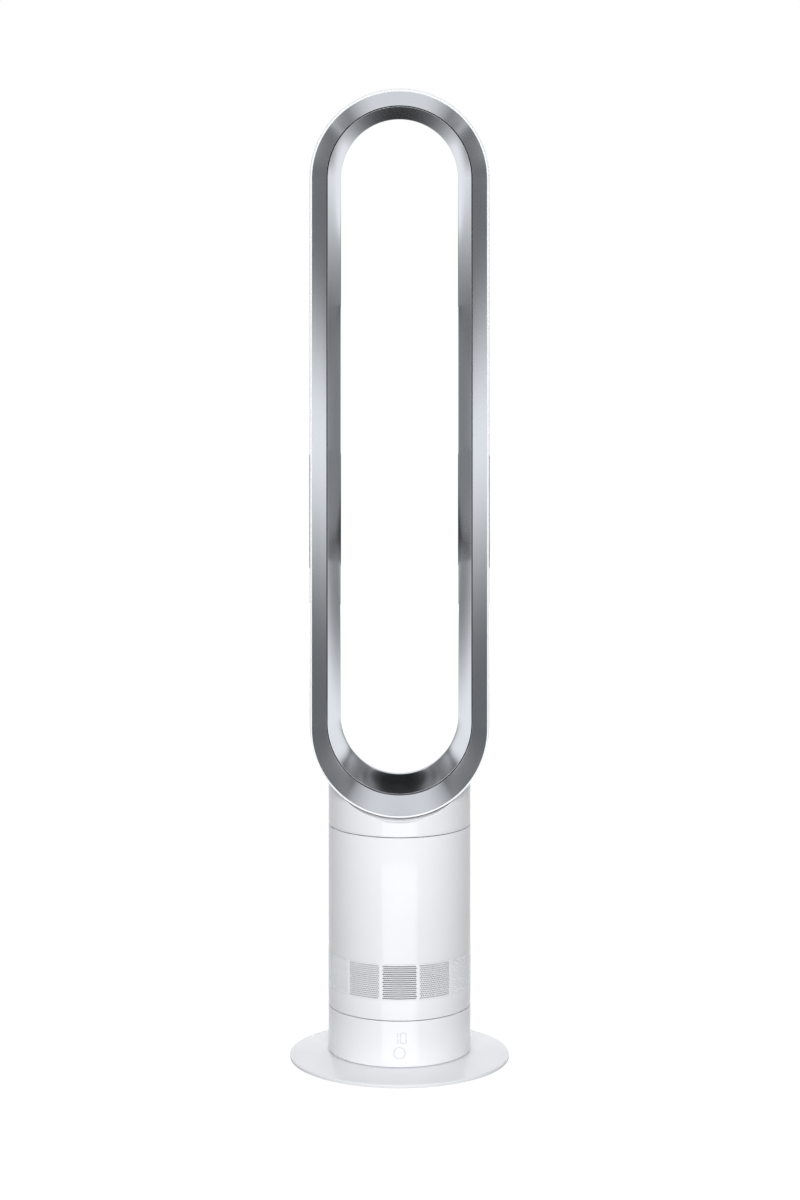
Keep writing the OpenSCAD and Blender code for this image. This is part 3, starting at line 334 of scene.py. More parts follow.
def offset(line, thickness):
    """The line moved to its right side by the thickness, along its own normals."""
    along = np.gradient(line, axis=0)
    along /= np.linalg.norm(along, axis=1)[:, None]
    return line + np.stack([along[:, 1], -along[:, 0]], -1) * np.broadcast_to(
        thickness, (len(line),))[:, None]


def bent_wall(line, thickness, caps, steps=5):
    """Closed outline of a bent wall: the line, an end cap, the line moved by the thickness and run
    backwards, and a start cap. A cap is a full half ellipse, its reach in millimetres in caps."""
    inner = offset(line, thickness)
    turn = np.linspace(0, math.pi, steps + 2)[1:-1, None]

    def cap(a, b, before, reach):
        """A full half ellipse from a to b, which bulges away from the point before a."""
        outward = (a - before) / np.linalg.norm(a - before)
        bulge = outward * np.sin(turn) ** CAP_POWER * reach * MM
        return (a + b) / 2 + (a - b) / 2 * np.cos(turn) + bulge

    return np.concatenate([line, cap(line[-1], inner[-1], line[-2], caps[1]), inner[::-1],
                           cap(inner[0], line[0], inner[1], caps[0])])


LOOP_WALL = 1.8
TIP_WALL, EDGE_WALL = 0.7, 0.3
coarse, fine = np.linspace(0, 1, 25), np.linspace(0, 1, 41)
# Close rows beside an edge hold its curve tight
lip = np.append([0.991, 0.989], np.linspace(0.982, 0, 25))
tip = np.append(np.linspace(0, 0.982, 25)[1:], [0.99, 0.992])

outer_line = np.concatenate([casing_front(lip), casing_back(fine)[1:]])
casing = mesh_piece("loop_casing_shell", along_loop(
    bent_wall(outer_line, LOOP_WALL * MM, (0.45, 0.3))), WHITE, "head")
stands_for(casing, "white_gloss", "loop_outer_casing")

inner_line = np.concatenate([wall_back(fine), wall_front(tip)])
taper = np.interp(np.arange(len(inner_line)), [0, len(fine), len(inner_line) - 5, len(inner_line) - 1],
                  [LOOP_WALL, LOOP_WALL, TIP_WALL, EDGE_WALL]) * MM
wall = mesh_piece("loop_inner_band", along_loop(bent_wall(inner_line, taper, (0.3, 0.1))),
                  SILVER, "head")
stands_for(wall, "silver_satin", "loop_inner_wall")

BAND_HIDDEN, BAND_START, BAND_END = np.array([[74.4, 10.8], [75.1, 19.8], [89.5, 54.74]])
BAND_WALL = 1.2


def front_band(t):
    """Front band from behind the slot to under the lip: straight, but turned level behind the slot
    by a soft bend, as the air's way out needs."""
    first = BAND_HIDDEN + (BAND_START - BAND_HIDDEN) * t[:, None]
    last = BAND_START + (BAND_END - BAND_START) * t[1:, None]
    return np.concatenate([first, last]) * MM


band = mesh_piece("loop_front_band", along_loop(
    bent_wall(front_band(coarse), BAND_WALL * MM, (0.4, 0.02))), SILVER, "head")
stands_for(band, "silver_satin", "loop_front_bezel")


# Neck with its saddle
# The solids' own widest reach: the loop's skin stays a little inside it
SOLID_REACH = 93.6
SADDLE_GAP, SADDLE_LEAST = 0.3, 92.6
BRIM_R, BRIM_STEP, INLET_R, DECK_R, DECK_UP = 0.9, 0.5, 38.0, 70.0, 3.0
# The neck's foot at its seam: radius, height over the seam
NECK_FOOT = np.array([(71.5, 0.0), (73.6, 0.0), (73.88, 0.12), (CASE_R / MM, 0.4)])


def saddle_height(radius, angle):
    """Height of the saddle under the loop: its distance from the lower arc centre is the casing's
    own reach at that depth and a clearance, and never under a least value."""
    x, forward = np.sin(angle) * radius * MM, np.cos(angle) * radius
    ahead = np.clip((forward - WIDEST[1]) / (FRONT_LIP - WIDEST)[1], 0, 1)
    behind = np.clip((forward - WIDEST[1]) / (BACK_CROWN - WIDEST)[1], 0, 1)
    reach = np.where(forward > WIDEST[1],
                     SOLID_REACH - (SOLID_REACH - FRONT_LIP[0]) * ahead ** 2,
                     BACK_CROWN[0] + (SOLID_REACH - BACK_CROWN[0]) * np.sqrt(1 - behind ** 2))
    reach = np.maximum(reach + SADDLE_GAP, SADDLE_LEAST)
    reach = np.where(np.abs(forward) > FRONT_LIP[1], SADDLE_LEAST, reach) * MM
    return LOOP_LOW - np.sqrt(reach ** 2 - x ** 2)


def neck_surface(count=288):
    """The neck as rings: up the outer wall, over a rounded brim that follows the saddle's height at
    each angle, in along the saddle, down the air inlet, and back under the deck."""
    angle = (np.arange(count) * TURN / count)[:, None]
    bend = np.linspace(0, math.pi / 2, 6)
    share = np.linspace(0, 1, 9)[1:]
    outside = CASE_R / MM
    brim = outside - BRIM_R * (1 - np.cos(bend))
    saddle = np.linspace(outside - BRIM_R - BRIM_STEP, INLET_R, 22)
    radius = np.concatenate([NECK_FOOT[:, 0], np.full(len(share), outside), brim, saddle,
                             [INLET_R, DECK_R]]) * MM
    low = NECK_SEAM + SEAM_GAP / 2
    foot = np.broadcast_to(low + NECK_FOOT[:, 1] * MM, (count, len(NECK_FOOT)))
    wall_low = foot[:, -1:]
    wall_top = saddle_height(outside, angle) - BRIM_R * MM
    z = np.concatenate([
        foot, wall_low + (wall_top - wall_low) * share,
        saddle_height(brim, angle) - BRIM_R * MM * (1 - np.sin(bend)),
        saddle_height(saddle, angle), np.full((count, 2), low + DECK_UP * MM)], 1)
    points = np.stack([np.sin(angle) * radius, -np.cos(angle) * radius, z], -1)[:, ::-1]
    return points.reshape(-1, 3), grid_faces(count, points.shape[1], True, True)


neck = mesh_piece("neck_with_saddle", neck_surface(), WHITE, "head", sharp_deg=50)
stands_for(neck, "white_gloss", "neck_collar")


# Turning body
OUTSIDE, BODY_BORE = CASE_R / MM, 71.8
BODY_LOW, BODY_HIGH = (BASE_SEAM + SEAM_GAP / 2) / MM, (NECK_SEAM - SEAM_GAP / 2) / MM
FLOOR_IN, FLOOR_BORE, FLOOR_LOW, FLOOR_TOP = 52.0, 71.0, 56.5, 58.9
LEDGE_IN, LEDGE_LOW, LEDGE_TOP = 64.0, 238.0, 240.5
lower_ring = rounded([
    (FLOOR_IN, FLOOR_LOW), (FLOOR_BORE, FLOOR_LOW), (FLOOR_BORE, BODY_LOW), (OUTSIDE, BODY_LOW),
    (OUTSIDE, BAND_LOW / MM), (BODY_BORE, BAND_LOW / MM), (BODY_BORE, FLOOR_TOP),
    (FLOOR_IN, FLOOR_TOP)], [0.2, 0.2, 0.1, 0.2, 0.12, 0.12, 0.3, 0.2])
upper_ring = rounded([
    (OUTSIDE, BAND_HIGH / MM), (OUTSIDE, BODY_HIGH), (BODY_BORE, BODY_HIGH), (BODY_BORE, LEDGE_TOP),
    (LEDGE_IN, LEDGE_TOP), (LEDGE_IN, LEDGE_LOW), (BODY_BORE, LEDGE_LOW),
    (BODY_BORE, BAND_HIGH / MM)], [0.12, 0.4, 0.2, 0.1, 0.2, 0.2, 0.3, 0.12])
PILLAR_T, PILLAR_TAPER, PILLAR_EDGE = 2.2 * MM, 0.7 * MM, 0.15 * MM


def pillar(middle):
    """Upright between two grille panels: a curved bar of the casing's own wall, with rounded
    upright edges, run from the lower ring to the upper ring. It narrows inwards."""
    half, edge, deep = PILLAR_W / 2, PILLAR_EDGE, PILLAR_T
    back = half - PILLAR_TAPER
    along = np.array([-back, -half, -half + edge, half - edge, half, back, back - edge, -back + edge])
    depth = np.array([deep - edge, edge, 0, 0, edge, deep - edge, deep, deep])
    up = np.linspace(BAND_LOW, BAND_HIGH, 3)[:, None]
    points = on_casing(np.broadcast_to(along + middle, (3, 8)), up, depth)
    return points.reshape(-1, 3), grid_faces(3, 8, False, True)


pitch = TURN * CASE_R / PANELS
body = mesh_piece("turning_body_shell", merged(
    turned(lower_ring, 240), turned(upper_ring, 240),
    *[pillar(pitch * (i + 0.5)) for i in range(PANELS)]), WHITE, "head")
stands_for(body, "white_gloss", "body_shell")


# Perforated intake panels
HOLE_ROWS, HOLE_COLUMNS = 17, 17
HOLE_R = 0.85 * MM
PANEL_T = 1.5 * MM
# Two sides taken together: what a panel leaves free beside the pillars and the rings, and the plain
# border within its edge
SIDE_FREE, END_FREE = 0.15 * MM, 0.3 * MM
SIDE_BORDER, END_BORDER = 0.3 * MM, 2.0 * MM


def panel_cells():
    """One flat panel as a tiling: staggered rows of six-cornered cells with two more points on their
    upright sides, each with a hole of eight corners. The outermost points move out to the panel's
    straight edge. Returns the outer and hole points of every cell as (cells, 8, 2) arrays, and the
    panel's width and height."""
    width = pitch - PILLAR_W - SIDE_FREE
    height = BAND_HIGH - BAND_LOW - END_FREE
    step = (width - SIDE_BORDER) / (HOLE_COLUMNS + 0.5)
    rise = (height - END_BORDER) / HOLE_ROWS
    column, row = np.meshgrid(np.arange(HOLE_COLUMNS), np.arange(HOLE_ROWS))
    x = (column - (HOLE_COLUMNS - 1) / 2 + (row % 2 - 0.5) / 2) * step
    z = (row - (HOLE_ROWS - 1) / 2) * rise
    corner_x = np.array([1, 1, 0, -1, -1, -1, 0, 1]) * step / 2
    corner_z = np.array([0, 1, 2, 1, 0, -1, -2, -1]) * rise / 3
    outer_x = x.reshape(-1, 1) + corner_x
    outer_z = z.reshape(-1, 1) + corner_z
    last_x, last_z = outer_x.max() - step / 2, outer_z.max() - rise / 3
    tiny = 1e-7
    outer_x = np.where(np.abs(outer_x) > last_x - tiny, np.sign(outer_x) * width / 2, outer_x)
    outer_z = np.where(np.abs(outer_z) > last_z - tiny, np.sign(outer_z) * height / 2, outer_z)
    turn = np.radians([0, 45, 90, 135, 180, 225, 270, 315])
    hole_x = x.reshape(-1, 1) + HOLE_R * np.cos(turn)
    hole_z = z.reshape(-1, 1) + HOLE_R * np.sin(turn)
    return np.stack([outer_x, outer_z], -1), np.stack([hole_x, hole_z], -1), width, height


def inner_side(x):
    """Where a line that runs straight in, along the panel's own middle direction, from the outer
    face at x meets the inner face. Both are lengths along the outer face."""
    return CASE_R * np.arcsin(np.sin(x / CASE_R) * CASE_R / (CASE_R - PANEL_T))


def perforated_panels():
    """All the panels bent onto the casing's cylinder. Each cell is four rings of eight points:
    cell edge outside, hole outside, hole inside, cell edge inside. The holes of a panel are all
    parallel, as one tool would draw them. Strips close the panel's rim."""
    outer, hole, width, height = panel_cells()
    cells = len(outer)
    middle = (np.arange(PANELS) * pitch)[:, None, None, None]
    ring_x = np.stack([outer[..., 0], hole[..., 0],
                       inner_side(hole[..., 0]), inner_side(outer[..., 0])], 1)
    ring_z = np.stack([outer[..., 1], hole[..., 1], hole[..., 1], outer[..., 1]], 1)
    depth = np.array([0.0, 0.0, PANEL_T, PANEL_T])[None, None, :, None]
    middle_z = (BAND_LOW + BAND_HIGH) / 2
    points = on_casing(ring_x[None] + middle, ring_z[None] + middle_z, depth)
    one = grid_faces(4, 8, False, True)[:, ::-1]
    faces = (one[None] + (np.arange(cells * PANELS) * 32)[:, None, None]).reshape(-1, 4)
    side, ones = np.linspace(-1, 1, 19), np.ones(19)
    rim_x = np.concatenate([side, ones[2:], side[::-1], -ones[2:]]) * width / 2
    rim_z = np.concatenate([-ones, side[1:-1], ones, side[-2:0:-1]])
    rim = on_casing(np.stack([rim_x, inner_side(rim_x)], -1)[None] + middle[..., 0],
                    (rim_z * height / 2 + middle_z)[None, :, None],
                    np.array([0.0, PANEL_T])[None, None, :])
    strip = grid_faces(len(rim_x), 2, True, False)[:, ::-1]
    rim_faces = (strip[None] + (np.arange(PANELS) * len(rim_x) * 2)[:, None, None]).reshape(-1, 4)
    return merged((points.reshape(-1, 3), faces), (rim.reshape(-1, 3), rim_faces))


panels = mesh_piece("intake_perforated_panels", perforated_panels(), WHITE, "head",
                    sharp_deg=30)
stands_for(panels, "white_gloss", "intake_grille")


# Base plate
PLATE_R, PLATE_TOP, PLATE_WALL, RIM_TOP, FOOT_PROUD = 113.96, 9.5, 2.4, 4.2, 1.0
FOOT_COUNT, FOOT_RING_R, FOOT_R, CUP_WALL, CUP_TOP = 6, 98.8, 8.0, 1.6, 4.4
CUP_FLOOR = 2.4
RIB_COUNT, RIB_T, RIB_IN = 12, 1.8, 30.0
# Outlines that close over the axis stop this far from it
NEAR_AXIS = 0.01


def plate_surface():
    """The plate's shell: flat under the casing, sloping gently to a rounded rim, and hollow below."""
    hollow = PLATE_R - PLATE_WALL
    corners = [(NEAR_AXIS, PLATE_TOP), (CASE_R / MM, PLATE_TOP), (PLATE_R, RIM_TOP),
               (PLATE_R, FOOT_PROUD), (hollow, FOOT_PROUD), (hollow, RIM_TOP - PLATE_WALL),
               (CASE_R / MM - PLATE_WALL, PLATE_TOP - PLATE_WALL),
               (NEAR_AXIS, PLATE_TOP - PLATE_WALL)]
    return turned(rounded(corners, [0.005, 6, 0.9, 0.5, 0.2, 0.6, 6, 0.005], 6), 256)


def plate_rib(turn):
    """A rib below the plate, a bar of four corners that follows the shell's slope."""
    stops = np.array([(RIB_IN, PLATE_TOP - PLATE_WALL), (CASE_R / MM, PLATE_TOP - PLATE_WALL),
                      (PLATE_R - PLATE_WALL, RIM_TOP - PLATE_WALL)])
    side = np.array([-1, 1, 1, -1]) * RIB_T / 2
    low = FOOT_PROUD + PLATE_WALL / 2
    points = [[(radius, across, z) for across, z in zip(side, (low, low, top, top))]
              for radius, top in stops]
    points = np.array(points).reshape(-1, 3) * MM
    cosine, sine = math.cos(turn), math.sin(turn)
    points = points @ np.array([[cosine, sine, 0], [-sine, cosine, 0], [0, 0, 1]])
    return points, grid_faces(3, 4, False, True)


def foot_cup(turn):
    """A cup below the plate that holds a foot: a ring of its wall turned about its own axis."""
    outside = FOOT_R + CUP_WALL
    corners = [(FOOT_R, FOOT_PROUD), (FOOT_R, CUP_FLOOR), (NEAR_AXIS, CUP_FLOOR), (NEAR_AXIS, CUP_TOP),
               (outside, CUP_TOP), (outside, FOOT_PROUD)]
    points, faces = turned(rounded(corners, [0.3, 0.2, 0.005, 0.005, 0.2, 0.3], 3), 40)
    return points + np.array([math.cos(turn), math.sin(turn), 0]) * FOOT_RING_R * MM, faces


plate = mesh_piece("base_plate_skin", merged(
    plate_surface(), *[plate_rib(TURN * (i + 0.5) / RIB_COUNT) for i in range(RIB_COUNT)],
    *[foot_cup(TURN * i / FOOT_COUNT - TURN / 4) for i in range(FOOT_COUNT)]),
                   WHITE, "base", sharp_deg=30)
stands_for(plate, "white_gloss", "base_plate")


# Lower casing, button and digits
BUTTON_Z, BUTTON_R, BUTTON_GAP = 24.6 * MM, 5.7 * MM, 0.25 * MM
GLAND_Z, GLAND_R = 18.5 * MM, 5.6 * MM
WALL_LOW, WALL_HIGH, CASE_BORE = 10.8 * MM, 56.3 * MM, 71.5 * MM
# The wall's two ends as radius and height, from the outer face inwards
WALL_TOP = np.array([(73.94, 56.72), (73.8, 56.8), (73.3, 56.7), (71.7, 55.9)]) * MM
WALL_FOOT = np.array([(73.9, 10.42), (73.65, 10.3), (71.95, 10.3), (71.95, 9.7), (71.85, 9.55),
                      (71.7, 9.55)]) * MM
# The casing's holes: share of a turn, height, radius, and the low and high edge of their window
HOLES = ((0, BUTTON_Z, BUTTON_R + BUTTON_GAP, BUTTON_Z - 8 * MM, BUTTON_Z + 8 * MM),
         (0.5, GLAND_Z, GLAND_R, GLAND_Z - 7.6 * MM, GLAND_Z + 8 * MM))
WINDOW_HALF = 4
# A hole's rings through the wall: how much wider than the hole, and how deep
HOLE_RINGS = np.array([(0.5, 0), (0.18, 0.04), (0.05, 0.16), (0, 0.4), (0, 2.5), (0.5, 2.5)]) * MM


def wall_heights():
    """Heights of the casing's grid lines: about 2 mm apart, with one on each edge of a window."""
    marks = sorted([WALL_LOW, WALL_HIGH] + [edge for hole in HOLES for edge in hole[3:]])
    return np.concatenate([np.linspace(a, b, max(2, int((b - a) / (2 * MM)) + 1))[:-1]
                           for a, b in zip(marks, marks[1:])] + [[marks[-1]]])


def lower_casing(count=240):
    """The fixed casing: a closed outline turned about Z, with a round hole at the front for the
    button and one at the back for the cable gland. Round each hole a window of whole grid cells is
    left out of both walls, and rings run from the window's edge to the hole, in through the wall,
    and out again to the inner window's edge."""
    heights = wall_heights()
    rows = len(heights)
    outline = np.concatenate([
        np.stack([np.full(rows, CASE_R), heights[::-1]], -1), WALL_FOOT,
        np.stack([np.full(rows, CASE_BORE), heights], -1), WALL_TOP[::-1]])
    angle = np.arange(count) * TURN / count
    r, z = outline.T
    points = np.stack([np.outer(np.sin(angle), r), -np.outer(np.cos(angle), r),
                       np.broadcast_to(z, (count, len(z)))], -1).reshape(-1, 3)
    faces = grid_faces(count, len(z), True, True)
    inner_start = rows + len(WALL_FOOT)
    keep = np.ones(len(faces), bool).reshape(count, len(z))
    rings, step = [], TURN * CASE_R / count
    for share, centre, radius, low, high in HOLES:
        middle = int(share * count)
        first = int(np.argmin(np.abs(heights - low)))
        last = int(np.argmin(np.abs(heights - high)))
        span = np.arange(-WINDOW_HALF, WINDOW_HALF + 1)
        columns = (middle + span) % count
        levels = np.arange(first, last + 1)
        keep[np.ix_(columns[:-1], rows - 1 - levels[1:])] = False
        keep[np.ix_(columns[:-1], inner_start + levels[:-1])] = False
        edge_c = np.concatenate([span, np.full(len(levels) - 1, WINDOW_HALF), span[::-1][1:],
                                 np.full(len(levels) - 2, -WINDOW_HALF)])
        edge_l = np.concatenate([np.full(len(span), first), levels[1:], np.full(len(span) - 1, last),
                                 levels[::-1][1:-1]])
        column = (middle + edge_c) % count
        outer_edge = points[column * len(z) + rows - 1 - edge_l]
        inner_edge = points[column * len(z) + inner_start + edge_l]
        away = np.stack([edge_c * step, heights[edge_l] - centre], -1)
        distance = np.linalg.norm(away, axis=1)
        along, up = (away / distance[:, None]).T
        ways = [((distance + radius) / 2, 0)] + [(radius + wider, deep) for wider, deep in HOLE_RINGS]
        inner_rings = [on_casing(middle * step + along * reach, centre + up * reach, deep)
                       for reach, deep in ways]
        stack = np.stack([outer_edge] + inner_rings + [inner_edge])
        rings.append((stack.reshape(-1, 3), grid_faces(len(stack), len(edge_c), False, True)))
    return merged((points, faces[keep.ravel()][:, ::-1]), *rings)


shell = mesh_piece("lower_casing_shell", lower_casing(), WHITE, "base", sharp_deg=40, weld=True)
stands_for(shell, "white_gloss", "base_shell")


DISH_R, DISH_DEPTH = 5.0, 0.22
# The button's outline after its dish: a rounded rim and the barrel, then the flange and the stem
BARREL = [(5.2, 0.0), (5.45, 0.06), (5.62, 0.2), (5.7, 0.45)]
FLANGE_AND_STEM = [(5.7, 3.34), (7.0, 3.34), (7.0, 4.54), (2.2, 4.54), (2.2, 7.6), (0.0, 7.6)]


def button_surface(count=64):
    """The button: a profile turned about its own level axis. Its face follows the casing's cylinder
    with a shallow dish, then come a rounded rim, the barrel, the flange and the stem."""
    dish = np.linspace(0.0, DISH_R, 12)
    hollow = DISH_DEPTH * (1 - (dish / DISH_R) ** 2) ** 2
    face = np.concatenate([np.column_stack([dish, hollow]), BARREL])
    radius, depth = np.concatenate([face, FLANGE_AND_STEM]).T * MM
    follows = np.arange(len(radius)) < len(face)
    turn = (np.arange(count) * TURN / count)[:, None]
    x, z = radius * np.sin(turn), radius * np.cos(turn)
    y = -np.where(follows, np.sqrt(CASE_R ** 2 - x ** 2), CASE_R) + depth
    points = np.stack([x, y, z + BUTTON_Z], -1)
    return points.reshape(-1, 3), grid_faces(count, len(radius), True, False)


button = mesh_piece("power_button_cap", button_surface(), WHITE, "button", sharp_deg=40, weld=True)
stands_for(button, "white_gloss", "power_button")


DIGIT_H, DIGIT_Z, STROKE = 11.6 * MM, 39.7 * MM, 1.2 * MM
ONE_LEFT, ZERO_LEFT, ZERO_W = -2.45 * MM, 0.45 * MM, 6.8 * MM
BAR_GAP, BAR_PROUD, BAR_DEEP = 0.28 * MM, 0.03 * MM, 0.3 * MM


def digit_stroke(left, right, low, high, corner=4.0):
    """One lit bar of a digit: rings that grow from its middle to a rounded rectangle, whose corners
    come from powers of cosine and sine, lying just proud of the casing and turned in at the rim."""
    turn = (np.arange(32) * TURN / 32)[None, :]
    grow = np.array([0.0, 0.5, 0.9, 1.0, 1.0])[:, None]
    depth = np.array([-BAR_PROUD, -BAR_PROUD, -BAR_PROUD, -BAR_PROUD / 3, BAR_DEEP])[:, None]
    power = 2 / corner
    wide = np.sign(np.cos(turn)) * np.abs(np.cos(turn)) ** power * (right - left) / 2
    tall = np.sign(np.sin(turn)) * np.abs(np.sin(turn)) ** power * (high - low) / 2
    along, up = (left + right) / 2 + grow * wide, (low + high) / 2 + grow * tall
    points = on_casing(along, DIGIT_Z + up, depth)
    return points.reshape(-1, 3), grid_faces(5, 32, False, True)[:, ::-1]


def digit_pair():
    """The two digits as eight bars: two for the one, six for the nought, with slim gaps between."""
    half = DIGIT_H / 2
    bars = [(ONE_LEFT, ONE_LEFT + STROKE, BAR_GAP, half),
            (ONE_LEFT, ONE_LEFT + STROKE, -half, -BAR_GAP)]
    for left in (ZERO_LEFT, ZERO_LEFT + ZERO_W - STROKE):
        bars += [(left, left + STROKE, BAR_GAP, half - STROKE / 2),
                 (left, left + STROKE, STROKE / 2 - half, -BAR_GAP)]
    inset = STROKE * 0.7
    inner = (ZERO_LEFT + inset, ZERO_LEFT + ZERO_W - inset)
    bars += [(*inner, half - STROKE, half), (*inner, -half, STROKE - half)]
    return merged(*[digit_stroke(*bar) for bar in bars])


digits = mesh_piece("display_digit_bars", digit_pair(), DIGIT, "base", sharp_deg=40, weld=True)
stands_for(digits, "display_grey", "display_digits")


# Floor, cards and light
# Light that the floor gives to the camera alone, so that it reads as plain white
FLOOR_LIFT = 0.92
FLOOR_X, FLOOR_Y = [-4.0, 4.0], [-5.0, 4.0]
CAMERA_PLACE = np.array([0, -3.272, 0.9536])
# Cards: their tint, the share of a card's light that the silver gives back, the contrast added
# about a middle brightness, the darkest brightness, and how softly the marks blend
CARD_TINT = (0.955, 0.978, 1.0, 1.0)
SILVER_MIRROR = 0.63
CARD_CONTRAST, CARD_MIDDLE, CARD_DARKEST = 0.08, 0.4, 0.01
CARD_SOFTNESS = 0.03
NEAR_CARD_Y, FAR_CARD_Y = 0.25, 0.60
# The far card takes only this many of the low end's marks, counted down from level
FAR_LOW_MARKS = 44
# The white rim's flanks see the far card between two upright lines, which stay white
RIM_LINES_X = (0.13, 0.19)
RIM_LINES_Z = np.linspace(0.45, 1.0, 56)
# Stripe card: half its angle on the casing, its brightness, its length, and its fade at the end
STRIPE_EDGE, STRIPE_GLOW = 14.2, 2.6
STRIPE_NEAR, STRIPE_REACH, STRIPE_FADE = 0.05, 2.0, 0.2
STRIPE_UP = 2 * MM


def stage_grid(name, points, rows, columns, material, glow=None):
    """A sheet of the stage over a grid of points, with an optional brightness for each point."""
    mesh = bpy.data.meshes.new(name)
    mesh.from_pydata(points.tolist(), [], grid_faces(rows, columns, False, False).tolist())
    if glow is not None:
        kept = mesh.attributes.new("glow", "FLOAT", "POINT")
        kept.data.foreach_set("value", glow.astype(np.float32))
    mesh.materials.append(material)
    sheet = bpy.data.objects.new(name, mesh)
    bpy.context.scene.collection.objects.link(sheet)
    return sheet


def floor_material():
    """White floor: it takes the object's soft shadow, is lifted to plain white for the camera, and
    shows as plain white in polished surfaces."""
    material, tree = empty_material("studio_floor_white")
    path = add(tree, "ShaderNodeLightPath")
    lift = add(tree, "ShaderNodeMath", {"operation": "MULTIPLY"}, {
        0: path.outputs["Is Camera Ray"], 1: FLOOR_LIFT})
    white = add(tree, "ShaderNodeMath", {"operation": "MAXIMUM"}, {
        0: path.outputs["Is Glossy Ray"], 1: path.outputs["Is Transmission Ray"]})
    strength = add(tree, "ShaderNodeMath", {"operation": "MAXIMUM"}, {
        0: lift.outputs[0], 1: white.outputs[0]})
    shade = add(tree, "ShaderNodeBsdfDiffuse", inputs={"Color": linear("#9C9C9C")})
    glow = add(tree, "ShaderNodeEmission", inputs={
        "Color": (1, 1, 1, 1), "Strength": strength.outputs[0]})
    both = add(tree, "ShaderNodeAddShader", inputs={0: shade.outputs[0], 1: glow.outputs[0]})
    plain = add(tree, "ShaderNodeMixShader", inputs={
        0: white.outputs[0], 1: both.outputs[0], 2: glow.outputs[0]})
    add(tree, "ShaderNodeOutputMaterial", inputs={"Surface": plain.outputs[0]})
    return material


def card_material(name):
    """A studio card that only polished surfaces see: it glows with the brightness kept at each of
    its points. Its back can't be seen."""
    material, tree = empty_material(name)
    brightness = add(tree, "ShaderNodeAttribute", {"attribute_name": "glow"}).outputs["Fac"]
    glow = add(tree, "ShaderNodeEmission", inputs={"Color": CARD_TINT, "Strength": brightness})
    side = add(tree, "ShaderNodeNewGeometry")
    clear = add(tree, "ShaderNodeBsdfTransparent")
    sheet = add(tree, "ShaderNodeMixShader", inputs={
        0: side.outputs["Backfacing"], 1: glow.outputs[0], 2: clear.outputs[0]})
    add(tree, "ShaderNodeOutputMaterial", inputs={"Surface": sheet.outputs[0]})
    return material


def for_gloss_only(card):
    """The card is seen in reflections alone, and lights nothing else."""
    card.visible_camera = card.visible_diffuse = card.visible_shadow = False
    card.visible_transmission = card.visible_volume_scatter = False


corner_x, corner_y = np.meshgrid(FLOOR_X, FLOOR_Y)
stage_grid("studio_floor", np.stack([corner_x, corner_y, 0 * corner_x], -1).reshape(-1, 3),
           2, 2, floor_material())


def tone(grey):
    """Brightness that a silver surface must mirror to look like an sRGB grey from 0 to 255. The
    satin blurs what it mirrors, so the contrast about a middle brightness is raised a little."""
    wanted = ((np.asarray(grey, float) / 255 + 0.055) / 1.055) ** 2.4
    return np.maximum(wanted + CARD_CONTRAST * (wanted - CARD_MIDDLE), CARD_DARKEST) / SILVER_MIRROR


def hump(place, middle, reach):
    """A smooth hump: 1 at the middle, nought from the reach on, and a squared cosine between."""
    return np.cos(np.clip(np.abs(place - middle) / reach, 0, 1) * math.pi / 2) ** 2


def settling(degrees, start):
    """Nought up to the start angle, then 1 less the square of the share left up to a right angle."""
    return 1 - np.clip((90 - degrees) / (90 - start), 0, 1) ** 2


class Band:
    """One of the loop's silver bands: its middle line's distance from the arc centre, how far
    forwards it lies, and its slope as reach over depth. Its greys are functions: side of the height
    up the straight side, top and low of the angle round that end, from level to upright."""

    def __init__(self, reach_mm, forward_mm, slope, side, top, low):
        self.reach, self.forward = reach_mm * MM, forward_mm * MM
        self.facing = np.array([-1.0, slope]) / math.hypot(1, slope)
        self.side, self.top, self.low = side, top, low

    def spots(self, turn, centre, card_y):
        """Where the camera sees an upright card at card_y in the band: at each angle round a centre,
        the ray from the camera is mirrored about the band's normal and followed to the card."""
        cosine, sine = np.cos(turn), np.sin(turn)
        place = np.stack([self.reach * cosine, np.full_like(turn, -self.forward),
                          centre + self.reach * sine], -1)
        normal = np.stack([self.facing[0] * cosine, np.full_like(turn, -self.facing[1]),
                           self.facing[0] * sine], -1)
        ray = place - CAMERA_PLACE
        ray /= np.linalg.norm(ray, axis=1)[:, None]
        ray -= 2 * np.sum(ray * normal, 1)[:, None] * normal
        spot = place + ray * ((card_y - place[:, 1]) / ray[:, 1])[:, None]
        return np.stack([np.abs(spot[:, 0]), spot[:, 2]], -1)

    def marks(self, card_y, parts, count=61):
        """Spots of the named parts of the band with the brightness that each should show."""
        found = []
        share = np.linspace(0, 1, count)
        for part in parts:
            if part == "side":
                centre = LOOP_LOW + (LOOP_HIGH - LOOP_LOW) * share
                turn = np.zeros(count)
                values = self.side(centre)
            elif part == "top":
                centre = np.full(count, LOOP_HIGH)
                turn = share * math.pi / 2
                values = self.top(share * 90)
            else:
                centre = np.full(count, LOOP_LOW)
                turn = -share * math.pi / 2
                values = self.low(share * 90)
            found.append(np.column_stack([self.spots(turn, centre, card_y), tone(values)]))
        return found


